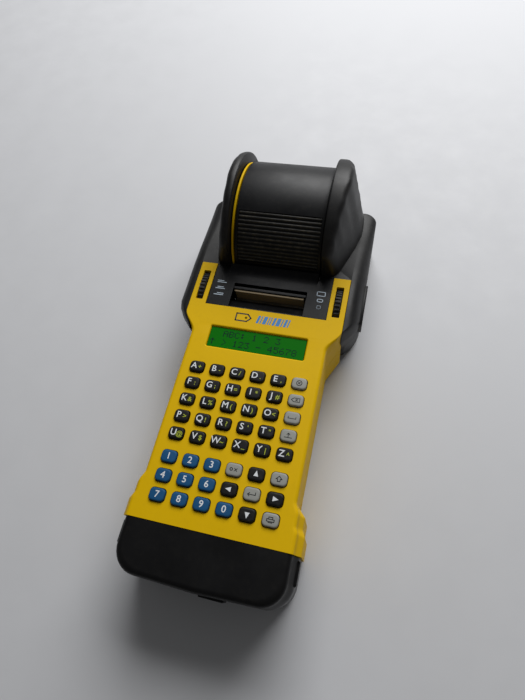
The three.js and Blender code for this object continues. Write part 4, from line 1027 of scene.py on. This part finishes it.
def sector(name, radius, x0, x1, floor, top=None, sides=96):
    """A drum about the cartridge's axis, cut flat at floor. With top, straight walls rise to it."""
    ring = []
    for i in range(sides + 1):
        a = math.radians(-180 + 360 * i / sides) if top is None else math.radians(-180 + 180 * i / sides)
        ring.append((DRUM_Y + radius * math.cos(a), max(floor, DRUM_Z + radius * math.sin(a))))
    if top is None:
        ring.pop()
    else:
        ring += [(DRUM_Y + radius, top), (DRUM_Y - radius, top)]
    rings = [[(x, y, z) for y, z in ring] for x in (x0, x1)]
    return mesh_object(name, *loft(rings))


def pocket(name):
    """Room that the cartridge sits in and is lifted out of."""
    return sector(name, POCKET_RADIUS, -POCKET_HALF, POCKET_HALF, DRUM_FLAT_Z - 0.6, 60)


def flange(side):
    """One round flange: wide soft-edged rim, and an outer face that leans in as it rises."""
    radius, bulge = mm("flange_radius"), (1.0 if side > 0 else 0.5)

    def outline(a):
        r = radius
        if math.cos(a) < 0:
            r = min(r, (DRUM_Y - FLANGE_FRONT_Y) / -math.cos(a))
        if math.sin(a) < 0:
            r = min(r, (DRUM_Z - BASE_Z) / -math.sin(a))
        return r

    def face(y, z):
        reach = FLANGE_NECK + (through(FLANGE_PLAN, y) - FLANGE_NECK) * bulge
        return reach - FLANGE_DRAFT * max(z, -6)

    outer_round, inner_round, steps = 3.4, 1.1, 7
    rows = [("in", 1.0, 0.0)]
    for i in range(4):
        b = math.radians(90 - 30 * i)
        rows.append(("in", inner_round * (1 - math.cos(b)), inner_round * (1 - math.sin(b))))
    for i in range(steps + 1):
        b = math.radians(90 * i / steps)
        rows.append(("out", outer_round * (1 - math.cos(b)), outer_round * (1 - math.sin(b))))
    rows += [("out", share, None) for share in (0.12, 0.2, 0.3, 0.42, 0.55, 0.7, 0.85, 1.0)]
    sides = 144
    rings = []
    for index, (where, inwards, back) in enumerate(rows):
        ring = []
        for i in range(sides):
            a = 2 * math.pi * i / sides
            r = outline(a)
            share = index == 0 or back is None
            rho = r * (1 - inwards) if share else r - inwards
            y, z = DRUM_Y + rho * math.cos(a), DRUM_Z + rho * math.sin(a)
            x = POCKET_HALF + (back or 0) if where == "in" else face(y, z) - (back or 0)
            ring.append((side * x, y, z))
        rings.append(ring)
    return mesh_object("flange", *loft(rings, caps=False), finish("Black ABS"), smooth=50)


def cradle():
    """Wall under and behind the cartridge, with the front wall of its pocket."""
    outer, inner = mm("flange_radius"), POCKET_RADIUS
    rear_angle = math.asin((REAR_WALL_Z - DRUM_Z) / outer)
    base_angle = -math.asin((DRUM_Z - BASE_Z) / outer)
    profile = []
    for i in range(25):
        a = rear_angle + (base_angle - rear_angle) * i / 24
        profile.append((DRUM_Y + outer * math.cos(a), DRUM_Z + outer * math.sin(a)))
    front = DECK_REAR_Y + GAP
    profile += [(front, BASE_Z), (front, DECK_Z)]
    start = math.pi + math.asin((DRUM_Z - DECK_Z) / inner)
    end = 2 * math.pi + math.asin((REAR_WALL_Z - DRUM_Z) / inner)
    for i in range(49):
        a = start + (end - start) * i / 48
        z = max(DRUM_FLAT_Z - 0.6, DRUM_Z + inner * math.sin(a))
        profile.append((DRUM_Y + inner * math.cos(a), z))
    reach = POCKET_HALF + 2
    rings = [[(x, y, z) for y, z in profile] for x in (-reach, reach)]
    return mesh_object("cradle", *loft(rings), finish("Black ABS"), smooth=40)


def split(obj, low, high):
    """The parts of a closed mesh above high and below low, each closed again."""
    parts = []
    for z, upper in ((high, True), (low, False)):
        part = bpy.data.objects.new(obj.name, obj.data.copy())
        bpy.context.scene.collection.objects.link(part)
        bm = bmesh.new()
        bm.from_mesh(part.data)
        height = z / 1000 + ORIGIN[2]
        everything = bm.verts[:] + bm.edges[:] + bm.faces[:]
        bmesh.ops.bisect_plane(bm, geom=everything, plane_co=(0, 0, height), plane_no=(0, 0, 1),
                               clear_inner=upper, clear_outer=not upper)
        bmesh.ops.holes_fill(bm, edges=[e for e in bm.edges if e.is_boundary])
        bmesh.ops.recalc_face_normals(bm, faces=bm.faces)
        bm.to_mesh(part.data)
        bm.free()
        shade(part.data, 50)
        parts.append(part)
    discard(obj)
    return parts


def yellow_plan():
    """Outline of the neck with its clearance, left to right round the front."""
    handle, deck = mm("handle_half") + GAP, mm("deck_half") + GAP
    return [(-deck, DECK_FRONT_Y), (-handle, NECK_Y), (-handle, 0), (handle, 0), (handle, NECK_Y),
            (deck, DECK_FRONT_Y)]


def head():
    """Both head mouldings, with the flanges and the cradle that run through them."""
    room = mm("deck_half") + GAP
    cover = shoulders()
    deck_rear = [(room, DECK_REAR_Y + GAP), (-room, DECK_REAR_Y + GAP)]
    release_room = block("release_room", (54, RELEASE_Y - 15.4, RELEASE_Z - 5.9),
                         (70, RELEASE_Y + 15.4, RELEASE_Z + 5.9))
    deck_room = prism("deck_room", yellow_plan() + deck_rear, -60, 60)
    for cutter in (deck_room, pocket("pocket"), release_room):
        cut_with(cover, cutter)
    soften(cover, 0.5, 3, 50)
    base = head_base()
    upper, lower = [cover], [base]
    for piece in (flange(1), flange(-1), cradle()):
        above, below = split(piece, PARTING_Z - GAP, PARTING_Z)
        upper.append(above)
        lower.append(below)
    soften(upper[-1], 0.5, 3, 50)
    stand_for(joined("head_cover_look", upper), "head_cover")
    stand_for(joined("head_base_look", lower), "head_base")
    head_release()
    stand_for(refined("tear_bar", "Polycarbonate overlay", 0.25, 40), "tear_bar")


def head_base():
    """Lower head moulding, with rounded lower edges, room for the mechanism and its screw holes."""
    rings = []
    for inset, z in ((3, BASE_Z), (1.7, BASE_Z + 0.3), (0.8, BASE_Z + 1), (0.2, BASE_Z + 2),
                     (0, BASE_Z + 3.2), (0, PARTING_Z - GAP)):
        rings.append([(x, y, z) for x, y in head_plan(inset, inset, z)])
    body = mesh_object("base", *loft(rings), finish("Black ABS"), smooth=40)
    plan = yellow_plan()
    for cutter in (
        prism("handle_room", plan, BASE_Z - 5, 20),
        block("mechanism_room", (-34.2, 74.5, -46.5), (34.2, 112.3, 20)),
        pocket("pocket"),
        block("label_slot", (-24.4, 107.3, -34), (24.4, 128.8, 0)),
        block("foot_room", (-30.3, 95.7, -60), (30.3, 104.3, -47.7)),
    ):
        cut_with(body, cutter)
    r = HEAD_SCREW_HOLE
    for side in (-1, 1):
        ring = [(side * HEAD_SCREW_X + r * math.cos(a), HEAD_SCREW_Y + r * math.sin(a))
                for a in np.linspace(0, 2 * math.pi, 32, endpoint=False)]
        cut_with(body, prism("screw_room", ring, -60, BASE_Z + 3))
    return soften(body, 0.35, 2, 50)


def head_release():
    """The side button that opens the printing head, with finger ridges."""
    obj = refined("head_release", "Black ABS", 0.5, 40)
    groove = block("groove", (-0.35, -0.55, -4.0), (0.6, 0.55, 4.0), in_place=False)
    places = [(61.9, RELEASE_Y + 2.4 * (i - 5), RELEASE_Z) for i in range(11)]
    cut_with(obj, repeat("grooves", groove, places, None))
    shade(obj.data, 35)
    stand_for(obj, "head_release")


# ---- cartridge ----


def cartridge_shell():
    """The label cartridge: a drum with a sunk band of fine grip ribs low on its front."""
    radius, wall, sides = mm("drum_radius"), 2.0, 160
    rings = []
    # x, and how far the skin is drawn in there: both rims are rounded, then the wall turns inside
    for x, drawn in (
        (SHELL_LEFT, 0.6), (SHELL_LEFT + 0.18, 0.18), (SHELL_LEFT + 0.6, 0),
        (SHELL_RIGHT - 0.6, 0), (SHELL_RIGHT - 0.18, 0.18), (SHELL_RIGHT, 0.6),
        (SHELL_RIGHT, wall), (SHELL_LEFT, wall),
    ):
        ring, r = [], radius - drawn
        for i in range(sides):
            a = 2 * math.pi * i / sides
            z = max(DRUM_FLAT_Z + drawn, DRUM_Z + r * math.sin(a))
            ring.append((x, DRUM_Y + r * math.cos(a), z))
        rings.append(ring)
    points, faces = loft(rings, caps=False)
    last = (len(rings) - 1) * sides
    faces += [(last + i, last + (i + 1) % sides, (i + 1) % sides, i) for i in range(sides)]
    shell = mesh_object("shell", points, faces, finish("Gloss ABS"), smooth=40)

    def at(r, degrees):
        a = math.radians(degrees)
        return DRUM_Y - r * math.cos(a), DRUM_Z + r * math.sin(a)

    band = []
    steps = 24
    for r, order in ((radius - 0.95, range(steps + 1)), (radius + 3, range(steps, -1, -1))):
        band += [at(r, RIB_FROM + (RIB_TO - RIB_FROM) * i / steps) for i in order]
    ends = (SHELL_LEFT + 1.8, SHELL_RIGHT - 1.8)
    cut_with(shell, mesh_object("band", *loft([[(x, y, z) for y, z in band] for x in ends])))
    cut_with(shell, block("slit", (-24.4, 97, -31.5), (24.4, 137, -28.5)))
    shade(shell.data, 30)
    flank = [(0.75, -0.4), (0.68, 0.35), (0.5, 0.78), (0.2, 0.93)]
    profile = [(-0.75, -0.4)] + flank + [(-y, z) for y, z in reversed(flank[1:])]
    rings = []
    for x, share in ((ends[0] + 0.1, 0.7), (ends[0] + 0.5, 1), (ends[1] - 0.5, 1), (ends[1] - 0.1, 0.7)):
        rings.append([(x, y, z * share if z > 0 else z) for y, z in profile])
    rib = mesh_object("rib", *loft(rings), in_place=False, smooth=60)
    pitch = (RIB_TO - RIB_FROM) / RIBS
    places, turns = [], []
    for i in range(RIBS):
        degrees = RIB_FROM + (i + 0.5) * pitch
        places.append((0, *at(radius - 0.95, degrees)))
        turns.append((math.radians(90 - degrees), 0, 0))
    # The ribs' finish is dust together with a painted highlight of the rib tops.
    ribs = repeat("ribs", rib, places, finish("Dusty ABS"), turns, smooth=60)
    stand_for(joined("cartridge_shell_look", [shell, ribs]), "cartridge_shell")


# ---- battery and the rest of the case ----

PACK_END_Y = -83.0
PACK_HALF = 49.3  # half widths of the side walls and of the face
PACK_FACE_HALF = 45.7
PACK_CORNER = 14.0
PACK_WALL = 2.5
SLEEVE_HALF = 30.7  # sleeve that holds the cells
SLEEVE_WALL = 2.0
JACK_LOW, JACK_HIGH = (5, -90, -21), (11, -79.6, -15)  # mouth of the power jack


def pack_ring(half, end, corner, z, steps=9):
    """Outline of the pack at height z: rounded at the tail, straight at the joint."""
    right = []
    for i in range(steps + 1):
        a = math.radians(-90 + 90 * i / steps)
        right.append((half - corner + corner * math.cos(a), end + 1.0 + corner + corner * math.sin(a)))
    outline = [(0, end), *right, (half, SEAM_Y - GAP)]
    return [(x, y, z) for x, y in outline + [(-x, y) for x, y in reversed(outline[1:])]]


def pack_solid(name, inset, joint=0.0):
    """The pack's body drawn in by inset, with its joint end moved by joint."""
    side, face = PACK_HALF - inset, PACK_FACE_HALF - inset
    low, high = BASE_Z + inset, -0.2 - inset
    levels = [(3.2, low), (1.6, low + 0.35), (0.7, low + 1.1), (0.15, low + 2.4), (0, low + 4)]
    rings = [pack_ring(side - i, PACK_END_Y + inset + i, PACK_CORNER - inset, z) for i, z in levels]
    for i in range(9):
        t = i / 8
        half = side + (face + 0.6 - side) * smoothstep(0, 1, t)
        rings.append(pack_ring(half, PACK_END_Y + inset + 0.35 * t, PACK_CORNER - inset,
                               -13 + (9.6 - inset) * t))
    for i in range(1, 8):
        a = math.radians(90 * i / 7)
        drop = 3.4 * (1 - math.cos(a))
        rings.append(pack_ring(face + 0.6 - drop, PACK_END_Y + inset + 0.35 + drop, PACK_CORNER - inset,
                               high - 3.2 * (1 - math.sin(a))))
    if joint:
        at_joint = SEAM_Y - GAP
        rings = [[(x, joint if abs(y - at_joint) < 1e-6 else y, z) for x, y, z in ring]
                 for ring in rings]
    return mesh_object(name, *loft(rings), finish("Pack ABS"), smooth=40)


def battery_case():
    """The clip-on battery pack: hollow cap, sleeve for the cells, socket and latch openings."""
    cap = pack_solid("cap", 0)
    cut_with(cap, pack_solid("cap_room", PACK_WALL, SEAM_Y + 5))
    for side in (-1, 1):
        x0, x1 = sorted((side * 44, side * 60))
        cut_with(cap, block("latch_room", (x0, -68.4, -21.4), (x1, -55.6, -10.6)))
    cut_with(cap, block("socket_room", JACK_LOW, JACK_HIGH))
    soften(cap, 0.3, 2, 50)
    outer, inner = SLEEVE_HALF, SLEEVE_HALF - SLEEVE_WALL
    sleeve = block("sleeve", (-outer, -81, -45.3), (outer, -27, -12.3), finish("Pack ABS"))
    cut_with(sleeve, block("cell_room", (-inner, -79, -43.3), (inner, -29, -14.3)))
    cut_with(sleeve, block("cell_mouth", (-inner, -52, -30), (inner, -29, 0)))
    soften(sleeve, 0.4, 2, 50)
    socket = block("socket", (1, -83.9, -23), (15, -79, -13), finish("Pack ABS"))
    cut_with(socket, block("socket_mouth", JACK_LOW, JACK_HIGH))
    soften(socket, 0.5, 3, 50)
    stand_for(joined("battery_case_look", [cap, sleeve, socket]), "battery_case")


def case_rest():
    """CAD parts of the outside that only need rounded edges."""
    for node, material, width in (
        ("lower_case", "Yellow ABS", 0.3),
        ("battery_latch_left", "Pack ABS", 0.4), ("battery_latch_right", "Pack ABS", 0.4),
        ("cartridge_side_left", "Yellow ABS", 0.3), ("label_strip", "Label stock", 0.1),
    ):
        stand_for(refined(node, material, width, 40), node)


def inner_parts():
    """Finishes of the parts inside, whose CAD shape stays."""
    looks = {
        "cartridge_side_right": "Black ABS", "label_roll": "Label stock", "ribbon_supply": "Ribbon film",
        "ribbon_takeup": "Ribbon film", "platen_roller": "Black rubber", "platen_gear": "White acetal",
        "idler_gear": "White acetal", "motor_pinion": "Zinc-plated steel",
        "print_head": "Zinc-plated steel", "mechanism_chassis": "Zinc-plated steel",
        "stepper_motor": "Zinc-plated steel", "power_switch": "Black ABS", "main_board": "Solder mask",
        "lcd_module": "Solder mask", "battery_cells": "Cell wrap", "foot_tail": "Black rubber",
        "foot_head": "Black rubber", "case_screw_left": "Zinc-plated steel",
        "case_screw_right": "Zinc-plated steel", "head_screw_left": "Zinc-plated steel",
        "head_screw_right": "Zinc-plated steel",
    }
    for node, material in looks.items():
        dress(node, material)


# ---- stage ----


def studio():
    """Pale table, soft light from beyond the head, and the camera above the user's right shoulder."""
    scene = bpy.context.scene
    scene.view_settings.view_transform = "Standard"
    bpy.ops.mesh.primitive_plane_add(size=6, location=(0, 0, 0))
    floor = bpy.context.active_object
    floor.name = "table_top"
    paint(floor, finish("Pale table"))
    world = bpy.data.worlds.new("Room")
    world.use_nodes = True
    world.node_tree.nodes["Background"].inputs["Color"].default_value = (1, 1, 1, 1)
    world.node_tree.nodes["Background"].inputs["Strength"].default_value = setting("fill_power")
    scene.world = world
    lamp = bpy.data.lights.new("Key light", "AREA")
    lamp.shape = "RECTANGLE"
    lamp.size, lamp.size_y = 1.1, 0.8
    lamp.energy = setting("lamp_power")
    key = bpy.data.objects.new("Key light", lamp)
    key.location = (0.12, 0.95, 0.85)
    key.rotation_mode = "QUATERNION"
    key.rotation_quaternion = (key.location - Vector((-0.05, 0.1, 0))).to_track_quat("Z", "Y")
    scene.collection.objects.link(key)
    camera = bpy.data.objects.new("Camera", bpy.data.cameras.new("Camera"))
    camera.data.lens = 24.96
    camera.data.sensor_width = 36
    camera.data.clip_start = 0.01
    right = Vector((0.96888, 0.22368, -0.10599))
    up = Vector((-0.15393, 0.87984, 0.44965))
    back = right.cross(up)
    turn = Matrix((right, up, back)).transposed()
    place = placed((62.9, -69.3, 264.1))
    camera.matrix_world = Matrix.Translation(Vector(place)) @ turn.to_4x4()
    scene.collection.objects.link(camera)
    scene.camera = camera


# ---- add-on ----


class LABELMAKER_OT_case(bpy.types.Operator):
    """Build the yellow case, the battery pack and the printed tag"""

    bl_idname = "label_maker.case"
    bl_label = "Case"

    def execute(self, context):
        upper_case()
        battery_case()
        case_rest()
        tag_mark()
        return {"FINISHED"}


class LABELMAKER_OT_keys(bpy.types.Operator):
    """Build every key with its print"""

    bl_idname = "label_maker.keys"
    bl_label = "Keys"

    def execute(self, context):
        own_keys()
        letter_keys()
        return {"FINISHED"}


class LABELMAKER_OT_display(bpy.types.Operator):
    """Build the display and its dots"""

    bl_idname = "label_maker.display"
    bl_label = "Display"

    def execute(self, context):
        display()
        return {"FINISHED"}


class LABELMAKER_OT_panel(bpy.types.Operator):
    """Build the legend panel and the thumbwheels"""

    bl_idname = "label_maker.panel"
    bl_label = "Panel and wheels"

    def execute(self, context):
        legend_panel()
        wheels()
        return {"FINISHED"}


class LABELMAKER_OT_head(bpy.types.Operator):
    """Build the printing head and its cartridge"""

    bl_idname = "label_maker.head"
    bl_label = "Head"

    def execute(self, context):
        head()
        cartridge_shell()
        return {"FINISHED"}


class LABELMAKER_OT_inner(bpy.types.Operator):
    """Give the parts inside their finishes"""

    bl_idname = "label_maker.inner"
    bl_label = "Inner parts"

    def execute(self, context):
        inner_parts()
        return {"FINISHED"}


class LABELMAKER_OT_stage(bpy.types.Operator):
    """Set up the table, the light and the camera"""

    bl_idname = "label_maker.stage"
    bl_label = "Stage"

    def execute(self, context):
        studio()
        return {"FINISHED"}


OPERATORS = (
    LABELMAKER_OT_case,
    LABELMAKER_OT_keys,
    LABELMAKER_OT_display,
    LABELMAKER_OT_panel,
    LABELMAKER_OT_head,
    LABELMAKER_OT_inner,
    LABELMAKER_OT_stage,
)


class LABELMAKER_PT_sidebar(bpy.types.Panel):
    """Settings and building steps of the label maker."""

    bl_label = "Label maker"
    bl_space_type = "VIEW_3D"
    bl_region_type = "UI"
    bl_category = "Label maker"

    def draw(self, context):
        for key in LabelMakerSettings.__annotations__:
            self.layout.prop(context.scene.label_maker, key)
        for kind in OPERATORS:
            self.layout.operator(kind.bl_idname)


CLASSES = [LabelMakerSettings, *OPERATORS, LABELMAKER_PT_sidebar]


def register():
    for kind in CLASSES:
        bpy.utils.register_class(kind)
    bpy.types.Scene.label_maker = PointerProperty(type=LabelMakerSettings)


def unregister():
    del bpy.types.Scene.label_maker
    for kind in reversed(CLASSES):
        bpy.utils.unregister_class(kind)


def main():
    register()
    for kind in OPERATORS:
        name = kind.bl_idname.split(".")[1]
        getattr(bpy.ops.label_maker, name)()


if __name__ == "__main__":
    main()
